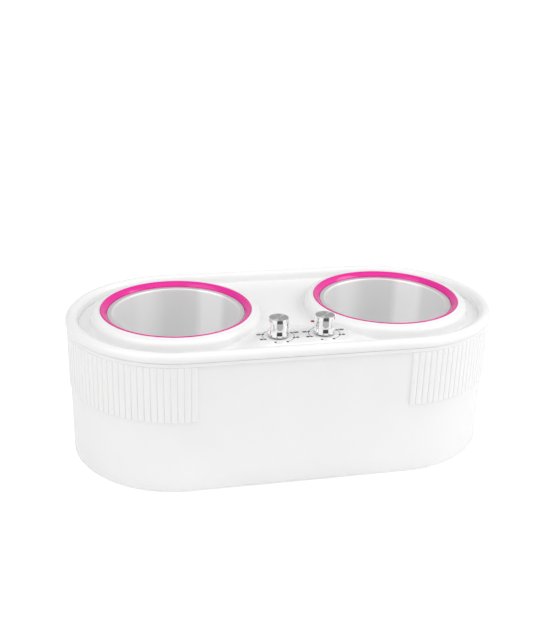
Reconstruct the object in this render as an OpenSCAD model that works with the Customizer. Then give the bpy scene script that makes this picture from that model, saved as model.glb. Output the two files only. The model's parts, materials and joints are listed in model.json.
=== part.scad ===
// Double wax warmer: a long housing with two heating wells, two lift-out pots and two knobs.
// The origin lies on the table under the centre of the housing, +X along it, the knobs toward -Y.

/* [Overall] */
// Distance between the centres of the two wells
well_spacing = 195; // [191:1:205]
// Width over the rounded rim
rim_w = 195; // [190:1:204]
// Height from the table to the lips of the pink rings
lip_h = 133.5; // [128:0.5:142]
// Wall thickness of the plastic mouldings
wall = 2.6; // [2.2:0.1:3]

/* [Housing] */
// Radius of the round bead that forms the rim
bead_r = 5.5; // [5:0.5:6.5]
// How far the top of the rim lies below the ring lips
rim_drop = 3; // [2:0.5:4]
// How far the sunken deck lies below the ring lips
deck_drop = 12; // [10.5:0.5:14]
// Height of the housing's bottom edge above the table
ground_gap = 2; // [1.5:0.5:3]
// How far the walls draw in from top to bottom
draft = 0.2; // [0:0.1:1.2]
// How far the seam lies below the middle of the rim bead
seam_drop = 2.2; // [1.4:0.2:2.6]
// Height of the smooth strip under the rim
strip_h = 4.2; // [3.6:0.2:6]

/* [Rib bands] */
// Height of the ribbed bands
band_h = 50; // [40:0.5:58]
// Spacing of the ribs
rib_pitch = 5.6; // [4.8:0.2:7]
// How far the rib crests stand out from the wall
rib_proud = 1.5; // [1.2:0.1:1.9]
// How far the grooves between the ribs stay out from the wall
groove_proud = 0.4; // [0.2:0.1:0.8]
// How far each band runs on past the round end
band_run = 5.5; // [3:0.5:14]

/* [Wells and pots] */
// Inside diameter of the pots at the mouth
pot_d = 112; // [108:1:114]
// Inside depth of the pots
pot_depth = 76; // [60:1:80]
// Wall thickness of the pots
pot_wall = 1.2; // [1:0.1:1.5]
// How far the pot wall draws in toward the floor
pot_taper = 2.5; // [1:0.5:5]
// Width of the pot flange outside the pot wall
flange_w = 3.6; // [3.2:0.1:4.2]
// Width of the sloping face of the pink rings
ring_face_w = 5.8; // [5:0.2:6.2]
// Depth of that slope
ring_slope_h = 3.7; // [3:0.1:4.2]
// Width of the collar outside each ring
collar_w = 8.8; // [8:0.2:9.6]
// Radius of the collar's outer edge
collar_round = 5; // [3:0.5:6]
// Thickness of the heating wells
well_wall = 1; // [0.8:0.1:1.2]
// Thickness of the plate heaters
heater_t = 4; // [3:0.5:6]
// Thickness of the insulation sleeves
insulation_t = 4; // [2:0.5:5]

/* [Control panel] */
// Distance between the two knobs
knob_spacing = 40; // [37:1:44]
// Distance of the knobs behind the front of the rim
knob_inset = 28; // [26:0.5:30]
// Diameter of the knobs
knob_d = 17.8; // [16.6:0.2:19]
// Diameter of the knobs' waist
waist_d = 15.8; // [14.6:0.2:16.4]
// Height of the knobs
knob_h = 16; // [14.6:0.2:18]
// Gap between the knobs and the panel
knob_gap = 1.2; // [0.4:0.1:1.6]
// Turn of the knobs' pointers from straight forward
pointer_turn = -22.5; // [-135:22.5:112.5]
// Depth of the panel below the ring lips
panel_drop = 3.5; // [2.5:0.5:4.5]
// Radius of the panel's round ends
panel_end_r = 18; // [16:0.5:18]
// Length of the panel
panel_l = 83; // [80:1:88]
// Width of the slope from the deck up to the panel
ramp_w = 26; // [20:1:28]
// Diameter of the indicator lens
lens_d = 3; // [2.8:0.2:3.6]

/* [Fixings] */
// Diameter of the thermostat shafts
shaft_d = 6; // [5:0.5:6]
// Diameter of the feet
foot_d = 18; // [14:1:22]
// Thickness of the bottom plate
base_t = 3; // [2.5:0.5:3.5]
// Diameter of the housing screws
screw_d = 3.5; // [3:0.5:4]
// Height of the inlet's centre above the table
inlet_z = 30; // [28:1:40]

/* [Hidden] */
$fn = 96;
half_run = well_spacing / 2;

// Gap of what slides or turns, of a loose seat, of a loose rim and under a lifted seat
run_gap = 0.05;
fit_gap = 0.3;
rim_gap = 0.2;
seat_gap = 0.05;

// How far cutters reach past a face, and how far joined forms sink into one another
cut = 1;
sink = 0.5;

// Rim bead, the smooth strip under it and the housing wall
rim_r = rim_w / 2;
bead_c = rim_r - bead_r;
bead_z = lip_h - rim_drop - bead_r;
seam_z = bead_z - seam_drop;
deck_z = lip_h - deck_drop;
deck_under = deck_z - wall;
deck_r = bead_c - bead_r + 0.3;
strip_r = rim_r - 1.6;
strip_z = seam_z - strip_h;
strip_bevel = 0.6;
wall_top_r = strip_r - 0.8;
wall_bottom_r = wall_top_r - draft;
edge_bevel = 1.2;
deck_round = 3;
tongue_h = bead_r / 2;
tongue_r = bead_c + bead_r - wall - 0.7;
inner_top_r = wall_top_r - wall;
inner_bottom_r = wall_bottom_r - wall;

// Stack of the pink ring, pot flange, well flange and seal
pot_r = pot_d / 2;
flange_r = pot_r + pot_wall + flange_w;
flange_t = 1.1;
ring_in_r = flange_r + 0.4;
ring_out_r = ring_in_r + ring_face_w;
ring_head_h = 3.4;
ring_edge_r = 0.5;
pot_top = lip_h - ring_slope_h - 0.2;
pot_seat_z = pot_top - flange_t;
well_top = pot_seat_z - seat_gap;
well_flange_t = 1;
well_flange_r = ring_in_r - rim_gap;
seal_t = 0.6;
shelf_z = well_top - well_flange_t - seal_t;
shelf_t = 1.8;
well_r = pot_r + pot_wall + 0.7;
well_out_r = well_r + well_wall;
shelf_r = well_out_r + 0.4;
skirt_in_r = ring_in_r + 1.4;
skirt_out_r = skirt_in_r + 2.3;
skirt_h = 20;
pot_floor_z = pot_top - pot_depth;
pot_corner_r = 6;
pot_lip_r = 2.4;
pot_edge = 0.2;
well_floor_z = pot_floor_z - pot_wall - 0.6;
well_bottom_z = well_floor_z - 1.5;

// Collars, panel and necks of the top cover
neck_in_r = skirt_out_r + fit_gap;
neck_out_r = neck_in_r + 2.4;
neck_h = 22;
collar_r = ring_out_r + collar_w;
collar_foot_r = collar_r + 1;
collar_edge_z = lip_h - 1.2;
collar_top_z = lip_h - 0.6;
panel_z = lip_h - panel_drop;
panel_run = panel_l / 2 - panel_end_r;
knob_y = rim_r - knob_inset;
panel_y = -knob_y - 4;
panel_step = 1.2;

// Housing screws and their bosses, set in from the wall
boss_r = 4;
boss_set_in = inner_bottom_r - 9.5;
boss_x = 60;
boss_angle = 40;
boss_arm_w = 6;
lug_z = lip_h - 26;
lug_t = 4;
pilot_gap = 0.05;
loose_gap = 0.2;
screw_head_h = 2.2;
base_z = ground_gap + 1;
base_top = base_z + base_t;
base_r = inner_bottom_r - fit_gap;
base_boss_h = 20;

// Small screws and the holes they take
small_screw_r = 1.45;
small_pilot_r = 1.5;
small_loose_r = 1.9;

// Lengths of the screws under their heads
cover_screw_l = lug_t + 6;
base_screw_l = base_t + 11;
bridge_screw_l = 5.5;
cutout_screw_l = 3.8;
board_screw_l = 6;
inlet_screw_l = 10;

// Heater, bridge and stud under each well
stud_r = 3;
stud_end = 1.5;
heater_r = well_r - 8;
heater_tab = [1, 6, 11];
heater_tab_x = heater_r - 8;
heater_tab_y = 7;
bridge_t = 1.5;
bridge_w = 36;
bridge_half = 56;
bridge_foot = 14;
bridge_top = well_bottom_z - heater_t;
bridge_under = bridge_top - bridge_t;
bridge_pad_h = 3;
bridge_pad_top = base_top + bridge_pad_h;
bridge_screw_x = 11;
bridge_screw_y = bridge_half + bridge_foot / 2;
nut_af = 10;
nut_t = 5;
cutout_x = 31;
cutout_screw_y = 10.6;
cutout_plate_t = 1.2;

// Thermostats and knobs
bush_r = 3.5;
bush_nut_af = 10;
bush_nut_t = 2;
bush_top = panel_z + 2.6;
thermostat_size = [30, 28, 22];
thermostat_top = deck_under - 0.6;
thermostat_foot = thermostat_top - thermostat_size.z;
thermostat_tab = [0.8, 6, 7];
thermostat_tab_x = 8;
shaft_foot = thermostat_top - 12;
shaft_r = shaft_d / 2;
flat_depth = 1.4;
knob_z = panel_z + knob_gap;
knob_top = knob_z + knob_h;
knob_r = knob_d / 2;
waist_r = waist_d / 2;
waist_z = knob_z + 4.6;
cap_t = 0.8;
cap_r = knob_r - 0.95;
shaft_top = knob_top - 2;
nut_pocket_r = bush_nut_af / sqrt(3) + 0.35;
nut_pocket_top = knob_z + 3;

// Sensor bulbs beside the wells
bulb_r = 2.5;
bulb_l = 46;
bulb_angle = 43;
bulb_top = lip_h - neck_h - 8;
capillary_r = 0.8;

// Indicator beside the right knob, just outside the foot of the right collar
lens_gap = 2;
lens_angle = 17;
lens_x = half_run - (collar_foot_r + lens_gap) * cos(lens_angle);
lens_y = -(collar_foot_r + lens_gap) * sin(lens_angle);
board_z = deck_under - 8;
board_size = [12, 26, 1.6];
board_screw_y = 9;
board_screw_r = 1.05;

// Appliance inlet in the back wall and its pins, [x, height over the inlet's centre]
inlet_face_y = wall_top_r;
inlet_flange = [50, 2, 22];
inlet_body = [28, 22, 20.4];
inlet_cavity = [24.5, 17, 16.5];
inlet_pad = [inlet_flange.x + 4, 4, inlet_flange.z + 5];
inlet_screw_x = 20;
inlet_screw_head = 2.8;
inlet_screw_cone = 1.4;
pin_size = [2, 29, 4];
pin_back_y = inlet_face_y - inlet_body.y - 8;
pin_rise = 2;
pin_x = 7;
pins = [[-pin_x, -pin_rise], [pin_x, -pin_rise], [0, pin_rise]];

// Terminal block on the bottom plate
block_size = [38, 18, 14];
block_y = pin_back_y - 23;
block_peg_x = 14;
block_peg_r = 1.5;
pole_x = 12;
pole_z = base_top + 7;
wire_r = 1.2;
lead_r = 1.1;

// Feet of the object
foot_angle = 55;
foot_set_in = 30;
foot_reach = base_r - foot_set_in;
foot_x = half_run + foot_reach * cos(foot_angle);
foot_y = foot_reach * sin(foot_angle);
foot_stem_r = 3;
foot_edge_h = 0.8;

// Points of an arc in a cross-section, from angle a0 to a1
function arc(cx, cy, r, a0, a1, steps) =
    [for (i = [0:steps]) let (a = a0 + (a1 - a0) * i / steps) [cx + r * cos(a), cy + r * sin(a)]];

// Carries a cross-section round the housing: round ends and straight sides
module around(run) {
    for (side = [0, 1]) {
        mirror([side, 0, 0]) translate([run, 0, 0]) rotate([0, 0, -90])
            rotate_extrude(angle = 180) children();
        mirror([0, side, 0]) rotate([90, 0, 90])
            linear_extrude(2 * run, center = true) children();
    }
}

module at_well(side) {
    translate([side * half_run, 0, 0]) children();
}

module at_knob(side) {
    translate([side * knob_spacing / 2, -knob_y, 0]) children();
}

// The eight screw places, each turned so that its own +X points at the wall
module at_bosses() {
    for (sx = [0, 1], sy = [0, 1]) mirror([sx, 0, 0]) mirror([0, sy, 0]) {
        translate([half_run, 0, 0]) rotate([0, 0, boss_angle])
            translate([boss_set_in, 0, 0]) children();
        translate([boss_x, boss_set_in, 0]) rotate([0, 0, 90]) children();
    }
}

module at_bridge_screws() {
    for (side = [-1, 1], sx = [-1, 1], sy = [-1, 1]) at_well(side)
        translate([sx * bridge_screw_x, sy * bridge_screw_y, 0]) children();
}

module at_board_screws() {
    for (s = [-1, 1]) translate([lens_x, lens_y + s * board_screw_y, 0]) children();
}

module at_feet() {
    for (sx = [-1, 1], sy = [-1, 1]) translate([sx * foot_x, sy * foot_y, 0]) children();
}

// The two inlet screws, with +Z turned to point into the housing
module at_inlet_screws(y) {
    for (side = [-1, 1]) translate([side * inlet_screw_x, y, inlet_z])
        rotate([90, 0, 0]) children();
}

// A block centred in X and Y that stands on the given height
module block(size, foot) {
    translate([-size.x / 2, -size.y / 2, foot]) cube(size);
}

module cross_recess(width, depth) {
    slot = width / 5;
    for (turn = [0, 90]) rotate([0, 0, turn])
        block([width, slot, depth + cut], -cut);
}

// Screw with its head under the origin, a cross recess below and the shank pointing up
module screw(head_r, head_h, shank_r, shank_l) {
    difference() {
        union() {
            translate([0, 0, -head_h]) cylinder(r = head_r, h = head_h);
            translate([0, 0, -head_h / 2]) cylinder(r = shank_r, h = shank_l + head_h / 2);
        }
        translate([0, 0, -head_h]) cross_recess(1.3 * head_r, head_h / 2);
    }
}

module hex_nut(across, thick, bore_r) {
    difference() {
        cylinder(d = across / cos(30), h = thick, $fn = 6);
        translate([0, 0, -cut]) cylinder(r = bore_r, h = thick + 2 * cut);
    }
}

// Point of a rib band: s is 0 at the tip of the round end, and the band runs on along the sides
function band_point(s, r) =
    let (quarter = wall_top_r * PI / 2)
    abs(s) <= quarter
        ? [r * cos(s / wall_top_r * 180 / PI), r * sin(s / wall_top_r * 180 / PI)]
        : [quarter - abs(s), sign(s) * r];

module rib_band() {
    length = wall_top_r * PI + 2 * band_run;
    count = round(length / rib_pitch);
    pitch = length / count;
    steps = 6;
    groove = wall_top_r + groove_proud;
    crest = rib_proud - groove_proud;
    linear_extrude(band_h) polygon([
        for (k = [0:count - 1], i = [0:steps - 1])
            let (turn = 180 * i / steps, place = k + 0.5 - count / 2 - 0.5 * cos(turn))
            band_point(place * pitch, groove + crest * sin(turn)),
        band_point(length / 2, groove)
    ]);
}

// Cross-section of the housing under the rim, with the tongue that enters the rim bead
module body_outline() {
    polygon([
        [0, ground_gap],
        [wall_bottom_r - edge_bevel, ground_gap],
        [wall_bottom_r, ground_gap + edge_bevel],
        [wall_top_r, strip_z],
        [strip_r, strip_z + strip_bevel],
        [strip_r, seam_z],
        [tongue_r, seam_z],
        [tongue_r, seam_z + tongue_h],
        [0, seam_z + tongue_h]
    ]);
}

module body_cavity() {
    polygon([
        [0, ground_gap - cut],
        [inner_bottom_r, ground_gap - cut],
        [inner_top_r, seam_z + tongue_h + cut],
        [0, seam_z + tongue_h + cut]
    ]);
}

module body_form() {
    around(half_run) body_outline();
    for (side = [0, 1]) mirror([side, 0, 0])
        translate([half_run, 0, strip_z - band_h]) rib_band();
    translate([-inlet_pad.x / 2, inlet_face_y - inlet_pad.y, inlet_z - inlet_pad.z / 2])
        cube(inlet_pad);
}

// Arm that ties a screw boss to the wall
module boss_arm(length, height) {
    translate([0, -boss_arm_w / 2, 0]) cube([length, boss_arm_w, height]);
}

module body_bosses() {
    into_wall = 0.8;
    at_bosses() {
        translate([0, 0, lug_z]) {
            cylinder(r = boss_r + 1, h = lug_t);
            boss_arm(inner_top_r - boss_set_in + into_wall, lug_t);
        }
        translate([0, 0, base_top]) {
            cylinder(r = boss_r, h = base_boss_h);
            boss_arm(inner_bottom_r - boss_set_in + into_wall, base_boss_h);
        }
    }
}

module body_shell() {
    inlet_boss_l = 9;
    inlet_boss_r = 3.4;
    window = inlet_body + [2 * rim_gap, 0, 2 * rim_gap];
    color("white") difference() {
        union() {
            difference() {
                body_form();
                around(half_run) body_cavity();
            }
            body_bosses();
            at_inlet_screws(inlet_face_y - cut) cylinder(r = inlet_boss_r, h = inlet_boss_l);
        }
        at_bosses() {
            translate([0, 0, lug_z - cut])
                cylinder(r = screw_d / 2 + loose_gap, h = lug_t + 2 * cut);
            translate([0, 0, base_top - cut])
                cylinder(r = screw_d / 2 + pilot_gap, h = base_boss_h - 2);
        }
        translate([-window.x / 2, inlet_face_y - window.y / 2, inlet_z - window.z / 2])
            cube(window);
        at_inlet_screws(inlet_face_y + 2 * cut)
            cylinder(r = small_pilot_r, h = inlet_boss_l + 4 * cut);
    }
}

// Cross-section of the rim: a hollow bead open below, where the housing's tongue enters,
// its upright inner wall and a hollow round from that wall to the deck
module rim_section() {
    inner_r = bead_c - bead_r;
    difference() {
        union() {
            translate([bead_c, bead_z]) circle(r = bead_r);
            translate([inner_r, deck_under]) square([bead_r, bead_z - deck_under]);
            polygon(concat(
                [[inner_r + sink, deck_under], [inner_r + sink, deck_z + deck_round]],
                arc(inner_r - deck_round, deck_z + deck_round, deck_round, 0, -80, 4),
                [[inner_r - deck_round, deck_under]]
            ));
        }
        translate([bead_c, bead_z]) circle(r = bead_r - wall);
        translate([bead_c - bead_r + wall, bead_z - bead_r])
            square([2 * (bead_r - wall), bead_r]);
        translate([bead_c - wall, deck_under - cut])
            square([2 * bead_r, seam_z - deck_under + cut]);
    }
}

module deck_plate() {
    around(half_run) translate([0, deck_under]) square([deck_r, wall]);
}

// Outer form of a collar, solid down to the deck
module collar_form() {
    rotate_extrude() polygon(concat(
        [[0, deck_under], [collar_foot_r, deck_under], [collar_foot_r, deck_z]],
        arc(collar_r - collar_round, collar_edge_z - collar_round, collar_round, 5, 85, 5),
        [[ring_out_r, collar_top_z], [0, collar_top_z]]
    ));
}

module collar_hollow() {
    rotate_extrude() polygon([
        [0, deck_under - cut],
        [collar_foot_r - wall, deck_under - cut],
        [collar_r - wall, collar_edge_z - collar_round],
        [collar_r - collar_round, collar_edge_z - wall],
        [0, collar_edge_z - wall]
    ]);
}

// Height of the cover's surface between the collars at a place: the deck or the panel's slope
function cover_z(x, y) =
    let (away = norm([max(abs(x) - panel_run, 0), y - panel_y]) - panel_end_r)
    max(deck_z, panel_z - panel_step - (panel_z - panel_step - deck_z) * away / ramp_w);

// The raised panel: a low step on a gentle slope, kept inside the rim
module panel_form(drop, inset) {
    step_slope = 0.6;
    intersection() {
        translate([0, panel_y, -drop]) around(panel_run) polygon([
            [0, deck_under],
            [panel_end_r + ramp_w, deck_under],
            [panel_end_r + ramp_w, deck_z],
            [panel_end_r + step_slope, panel_z - panel_step],
            [panel_end_r, panel_z],
            [0, panel_z]
        ]);
        around(half_run) translate([0, deck_under - wall])
            square([deck_r + rim_gap - inset, deck_drop + 2 * wall]);
    }
}

module top_cover() {
    board_boss_r = 2.4;
    color("white") difference() {
        union() {
            difference() {
                union() {
                    around(half_run) rim_section();
                    deck_plate();
                    for (side = [-1, 1]) at_well(side) collar_form();
                    panel_form(0, 0);
                }
                for (side = [-1, 1]) at_well(side) collar_hollow();
                panel_form(wall, 1.5);
            }
            for (side = [-1, 1]) at_well(side) translate([0, 0, lip_h - neck_h])
                cylinder(r = neck_out_r, h = neck_h - ring_head_h);
            at_bosses() translate([0, 0, lug_z + lug_t])
                cylinder(r = boss_r, h = deck_z - lug_z - lug_t - sink);
            for (s = [-1, 1]) translate([lens_x, lens_y + s * board_screw_y, board_z])
                cylinder(r = board_boss_r, h = cover_z(lens_x, lens_y + s * board_screw_y) - board_z - sink);
        }
        for (side = [-1, 1]) {
            at_well(side) {
                translate([0, 0, lip_h - neck_h - cut]) cylinder(r = neck_in_r, h = neck_h + cut);
                translate([0, 0, lip_h - ring_head_h])
                    cylinder(r = ring_out_r + rim_gap, h = ring_head_h + cut);
            }
            at_knob(side) translate([0, 0, panel_z - wall - 2 * cut])
                cylinder(r = bush_r + rim_gap, h = wall + 4 * cut);
        }
        translate([lens_x, lens_y, deck_under - cut])
            cylinder(r = lens_d / 2 + rim_gap / 2, h = wall + 2 * cut);
        at_bosses() translate([0, 0, lug_z + lug_t - cut])
            cylinder(r = screw_d / 2 + pilot_gap, h = deck_under - lug_z - lug_t);
        at_board_screws() translate([0, 0, board_z - cut])
            cylinder(r = board_screw_r + pilot_gap, h = 7);
    }
}

module base_plate() {
    vent = [3.6, 44, base_t + 2 * cut];
    vent_pitch = 8;
    pad = [bridge_w, 10, bridge_pad_h + sink];
    color("whitesmoke") difference() {
        union() {
            around(half_run) translate([0, base_z]) square([base_r, base_t]);
            for (side = [-1, 1], sy = [-1, 1]) at_well(side)
                translate([0, sy * bridge_screw_y, 0]) block(pad, base_top - sink);
        }
        at_bosses() translate([0, 0, base_z - cut])
            cylinder(r = screw_d / 2 + loose_gap, h = base_t + 2 * cut);
        at_feet() translate([0, 0, base_z - cut])
            cylinder(r = foot_stem_r + 0.1, h = base_t + 2 * cut);
        for (side = [-1, 1], k = [-3:3]) at_well(side)
            translate([k * vent_pitch, 0, 0]) block(vent, base_z - cut);
        at_bridge_screws() translate([0, 0, base_z + 1])
            cylinder(r = small_pilot_r, h = base_t + bridge_pad_h);
        for (sx = [-1, 1]) translate([sx * block_peg_x, block_y, base_z - cut])
            cylinder(r = block_peg_r + 0.1, h = base_t + 2 * cut);
    }
}

module rubber_feet() {
    stem_l = base_t + 2.5;
    color("dimgray") at_feet() {
        cylinder(r1 = foot_d / 2 - 0.6, r2 = foot_d / 2, h = foot_edge_h);
        translate([0, 0, foot_edge_h]) cylinder(d = foot_d, h = base_z - foot_edge_h);
        translate([0, 0, base_z - sink]) cylinder(r = foot_stem_r, h = stem_l);
    }
}

module accent_ring(side) {
    bulge = 0.35;
    crown_w = 0.8;
    steps = 6;
    edge_z = lip_h - ring_edge_r;
    slope = [for (i = [0:steps]) let (t = i / steps) [
        ring_out_r - crown_w - (ring_face_w - crown_w) * t,
        lip_h - ring_slope_h * t + bulge * sin(180 * t)
    ]];
    color("deeppink") at_well(side) rotate_extrude() polygon(concat(
        [[skirt_out_r, lip_h - ring_head_h], [ring_out_r, lip_h - ring_head_h]],
        [[ring_out_r, edge_z]],
        arc(ring_out_r - ring_edge_r, edge_z, ring_edge_r, 30, 90, 2),
        slope,
        [[ring_in_r, shelf_z], [shelf_r, shelf_z], [shelf_r, shelf_z - shelf_t]],
        [[skirt_in_r, shelf_z - shelf_t], [skirt_in_r, lip_h - skirt_h]],
        [[skirt_out_r, lip_h - skirt_h]]
    ));
}

module well_seal(side) {
    color("gray") at_well(side) translate([0, 0, shelf_z]) difference() {
        cylinder(r = well_flange_r, h = seal_t);
        translate([0, 0, -cut]) cylinder(r = shelf_r + rim_gap, h = seal_t + 2 * cut);
    }
}

// Heating well: flange above, side and floor, and the threaded stud below
module heating_well(side) {
    stud_foot = bridge_under - nut_t - stud_end;
    color("silver") at_well(side) union() {
        difference() {
            union() {
                translate([0, 0, well_bottom_z])
                    cylinder(r = well_out_r, h = well_top - well_bottom_z);
                translate([0, 0, well_top - well_flange_t])
                    cylinder(r = well_flange_r, h = well_flange_t);
            }
            translate([0, 0, well_floor_z]) cylinder(r = well_r, h = well_top - well_floor_z + cut);
        }
        translate([0, 0, stud_foot]) cylinder(r = stud_r, h = well_bottom_z + sink - stud_foot);
    }
}

// Half cross-section of a pot surface, from the floor's centre up to the mouth
function pot_side(mouth_r, floor_z, corner, mouth_z) =
    let (foot_r = mouth_r - pot_taper)
    concat(
        [[0, floor_z]],
        arc(foot_r - corner, floor_z + corner, corner, -90, 0, 6),
        [[mouth_r, mouth_z]]
    );

module wax_pot(side) {
    out_r = pot_r + pot_wall;
    color("gainsboro") at_well(side) difference() {
        rotate_extrude() polygon(concat(
            pot_side(out_r, pot_floor_z - pot_wall, pot_corner_r + pot_wall, pot_seat_z - 2),
            [[out_r, pot_seat_z], [flange_r, pot_seat_z], [flange_r, pot_top - pot_edge]],
            [[flange_r - pot_edge, pot_top], [0, pot_top]]
        ));
        rotate_extrude() polygon(concat(
            pot_side(pot_r, pot_floor_z, pot_corner_r, pot_top - pot_lip_r),
            arc(pot_r + pot_lip_r, pot_top - pot_lip_r, pot_lip_r, 180, 90, 6),
            [[pot_r + pot_lip_r, pot_top + cut], [0, pot_top + cut]]
        ));
    }
}

module heater(side) {
    tab_foot = bridge_top - heater_tab.z;
    color("darkgray") at_well(side) difference() {
        union() {
            translate([0, 0, bridge_top]) cylinder(r = heater_r, h = heater_t);
            for (s = [-1, 1]) translate([-side * heater_tab_x, s * heater_tab_y, 0])
                block(heater_tab + [0, 0, cut], tab_foot);
        }
        translate([0, 0, bridge_top - cut]) cylinder(r = stud_r + fit_gap, h = heater_t + 2 * cut);
        for (s = [-1, 1]) translate([side * cutout_x, s * cutout_screw_y, bridge_top - cut])
            cylinder(r = small_pilot_r, h = 3 + cut);
    }
}

module insulation(side) {
    foot = well_bottom_z + 2;
    top = lip_h - neck_h - 1;
    slot_w = 2 * bulb_r + 0.8;
    color("beige") at_well(side) difference() {
        translate([0, 0, foot]) cylinder(r = well_out_r + rim_gap + insulation_t, h = top - foot);
        translate([0, 0, foot - cut]) cylinder(r = well_out_r + 0.1, h = top - foot + 2 * cut);
        rotate([0, 0, side > 0 ? 180 + bulb_angle : -bulb_angle])
            translate([well_out_r - 2, -slot_w / 2, foot - cut])
                cube([insulation_t + 6, slot_w, top - foot + 2 * cut]);
    }
}

// Steel bridge that carries a well: flat top, two legs and two feet turned outward
module well_bracket(side) {
    leg_h = bridge_top - bridge_pad_top;
    foot_l = bridge_foot + bridge_t / 2;
    color("lightsteelblue") at_well(side) difference() {
        union() {
            block([bridge_w, 2 * bridge_half, bridge_t], bridge_under);
            for (s = [-1, 1]) {
                translate([0, s * bridge_half, 0])
                    block([bridge_w, bridge_t, leg_h], bridge_pad_top);
                translate([0, s * (bridge_half - bridge_t / 2 + foot_l / 2), 0])
                    block([bridge_w, foot_l, bridge_t], bridge_pad_top);
            }
        }
        translate([0, 0, bridge_under - cut])
            cylinder(r = stud_r + fit_gap, h = bridge_t + 2 * cut);
        for (sx = [-1, 1], sy = [-1, 1])
            translate([sx * bridge_screw_x, sy * bridge_screw_y, bridge_pad_top - cut])
                cylinder(r = small_loose_r, h = bridge_t + 2 * cut);
    }
}

module well_nuts() {
    color("silver") for (side = [-1, 1]) at_well(side)
        translate([0, 0, bridge_under - nut_t]) hex_nut(nut_af, nut_t, stud_r + run_gap);
}

module bracket_screws() {
    color("silver") at_bridge_screws() translate([0, 0, bridge_pad_top + bridge_t])
        mirror([0, 0, 1]) screw(3.2, 2, small_screw_r, bridge_screw_l);
}

// Thermal cut-out: cap against the heater, body, mounting plate and two tabs
module thermal_cutout(side) {
    cap_h = 3.5;
    body_h = 6.5;
    plate = [6, 27, cutout_plate_t];
    tab = [0.8, 6, 7];
    color("white") at_well(side) translate([side * cutout_x, 0, bridge_top]) {
        translate([0, 0, -cap_h]) cylinder(r = 7.6, h = cap_h);
        translate([0, 0, -cap_h - body_h]) cylinder(r = 6.4, h = body_h + 0.1);
        difference() {
            block(plate, -cutout_plate_t);
            for (s = [-1, 1]) translate([0, s * cutout_screw_y, -cutout_plate_t - cut])
                cylinder(r = small_pilot_r + 0.1, h = cutout_plate_t + 2 * cut);
        }
        for (s = [-1, 1]) translate([s * 3.5, 0, 0])
            block(tab + [0, 0, rim_gap], -cap_h - body_h - tab.z);
    }
}

module cutout_screws() {
    color("silver") for (side = [-1, 1], s = [-1, 1]) at_well(side)
        translate([side * cutout_x, s * cutout_screw_y, bridge_top - cutout_plate_t])
            screw(2.6, 1.8, small_screw_r, cutout_screw_l);
}

// Thermostat: body, neck up to the panel, threaded bush through it and two tabs
module thermostat(side) {
    neck_top = panel_z - wall;
    color("ivory") at_knob(side) difference() {
        union() {
            translate([0, 1, 0]) block(thermostat_size, thermostat_foot);
            translate([0, 0, thermostat_top - cut])
                cylinder(r = 7, h = neck_top - thermostat_top + cut);
            translate([0, 0, neck_top - sink]) cylinder(r = bush_r, h = bush_top - neck_top + sink);
            for (s = [-1, 1]) translate([s * thermostat_tab_x, 0, 0])
                block(thermostat_tab + [0, 0, cut], thermostat_foot - thermostat_tab.z);
        }
        translate([0, 0, shaft_foot]) cylinder(r = shaft_r + run_gap, h = bush_top - shaft_foot + cut);
    }
}

module thermostat_shaft(side) {
    foot = shaft_foot + run_gap;
    color("silver") at_knob(side) difference() {
        translate([0, 0, foot]) cylinder(r = shaft_r, h = shaft_top - foot);
        translate([-shaft_d, shaft_r - flat_depth, nut_pocket_top + 1])
            cube([2 * shaft_d, shaft_d, knob_h]);
    }
}

module thermostat_nuts() {
    color("silver") for (side = [-1, 1]) at_knob(side)
        translate([0, 0, panel_z]) hex_nut(bush_nut_af, bush_nut_t, bush_r + run_gap);
}

// Outer half cross-section of a knob: skirt, drawn-in waist, shoulder and straight head
function knob_profile() =
    let (edge = 0.5, steps = 5, flare_z = knob_z + 1, head_z = waist_z + 1.6)
    concat(
        [[0, knob_z], [knob_r - edge, knob_z], [knob_r, knob_z + 0.4]],
        [for (i = [0:steps]) let (t = i / steps)
            [knob_r - (knob_r - waist_r) * sin(90 * t), flare_z + (waist_z - flare_z) * t]],
        [[waist_r, waist_z + edge], [knob_r - 0.3, head_z - edge], [knob_r - 0.1, head_z]],
        [[knob_r, knob_top - edge], [knob_r - edge, knob_top], [0, knob_top]]
    );

module knob(side) {
    bore_gap = 0.02;
    flat_y = shaft_r - flat_depth + pilot_gap;
    color("silver") at_knob(side) difference() {
        rotate_extrude() polygon(knob_profile());
        translate([0, 0, knob_z - cut]) cylinder(r = nut_pocket_r, h = nut_pocket_top - knob_z + cut);
        difference() {
            translate([0, 0, knob_z]) cylinder(r = shaft_r + bore_gap, h = shaft_top - knob_z + 0.1);
            translate([-shaft_d, flat_y, nut_pocket_top + 1.2])
                cube([2 * shaft_d, shaft_d, knob_h]);
        }
        translate([0, 0, knob_top - cap_t]) cylinder(r = cap_r + seat_gap, h = cap_t + cut);
    }
}

module knob_cap(side) {
    pointer = [0.7, knob_r * 0.55, 0.3];
    color("gray") at_knob(side) difference() {
        translate([0, 0, knob_top - cap_t]) cylinder(r = cap_r, h = cap_t - 0.1);
        rotate([0, 0, pointer_turn]) translate([-pointer.x / 2, -knob_r, knob_top - 0.1 - pointer.z])
            cube(pointer + [0, 0, cut]);
    }
}

// Tube of eight sides along a hand-laid route
function unit(v) = v / norm(v);
function route_dir(p, i) =
    i == 0 ? unit(p[1] - p[0])
    : i == len(p) - 1 ? unit(p[i] - p[i - 1])
    : unit(unit(p[i] - p[i - 1]) + unit(p[i + 1] - p[i]));
function side_dir(d) = unit(cross(d, abs(d.z) < 0.9 ? [0, 0, 1] : [0, 1, 0]));
function next_side(d, s) = unit(s - d * (s * d));
function side_dirs(p, i, s) =
    i == len(p) ? [] : let (n = next_side(route_dir(p, i), s)) concat([n], side_dirs(p, i + 1, n));

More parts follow.
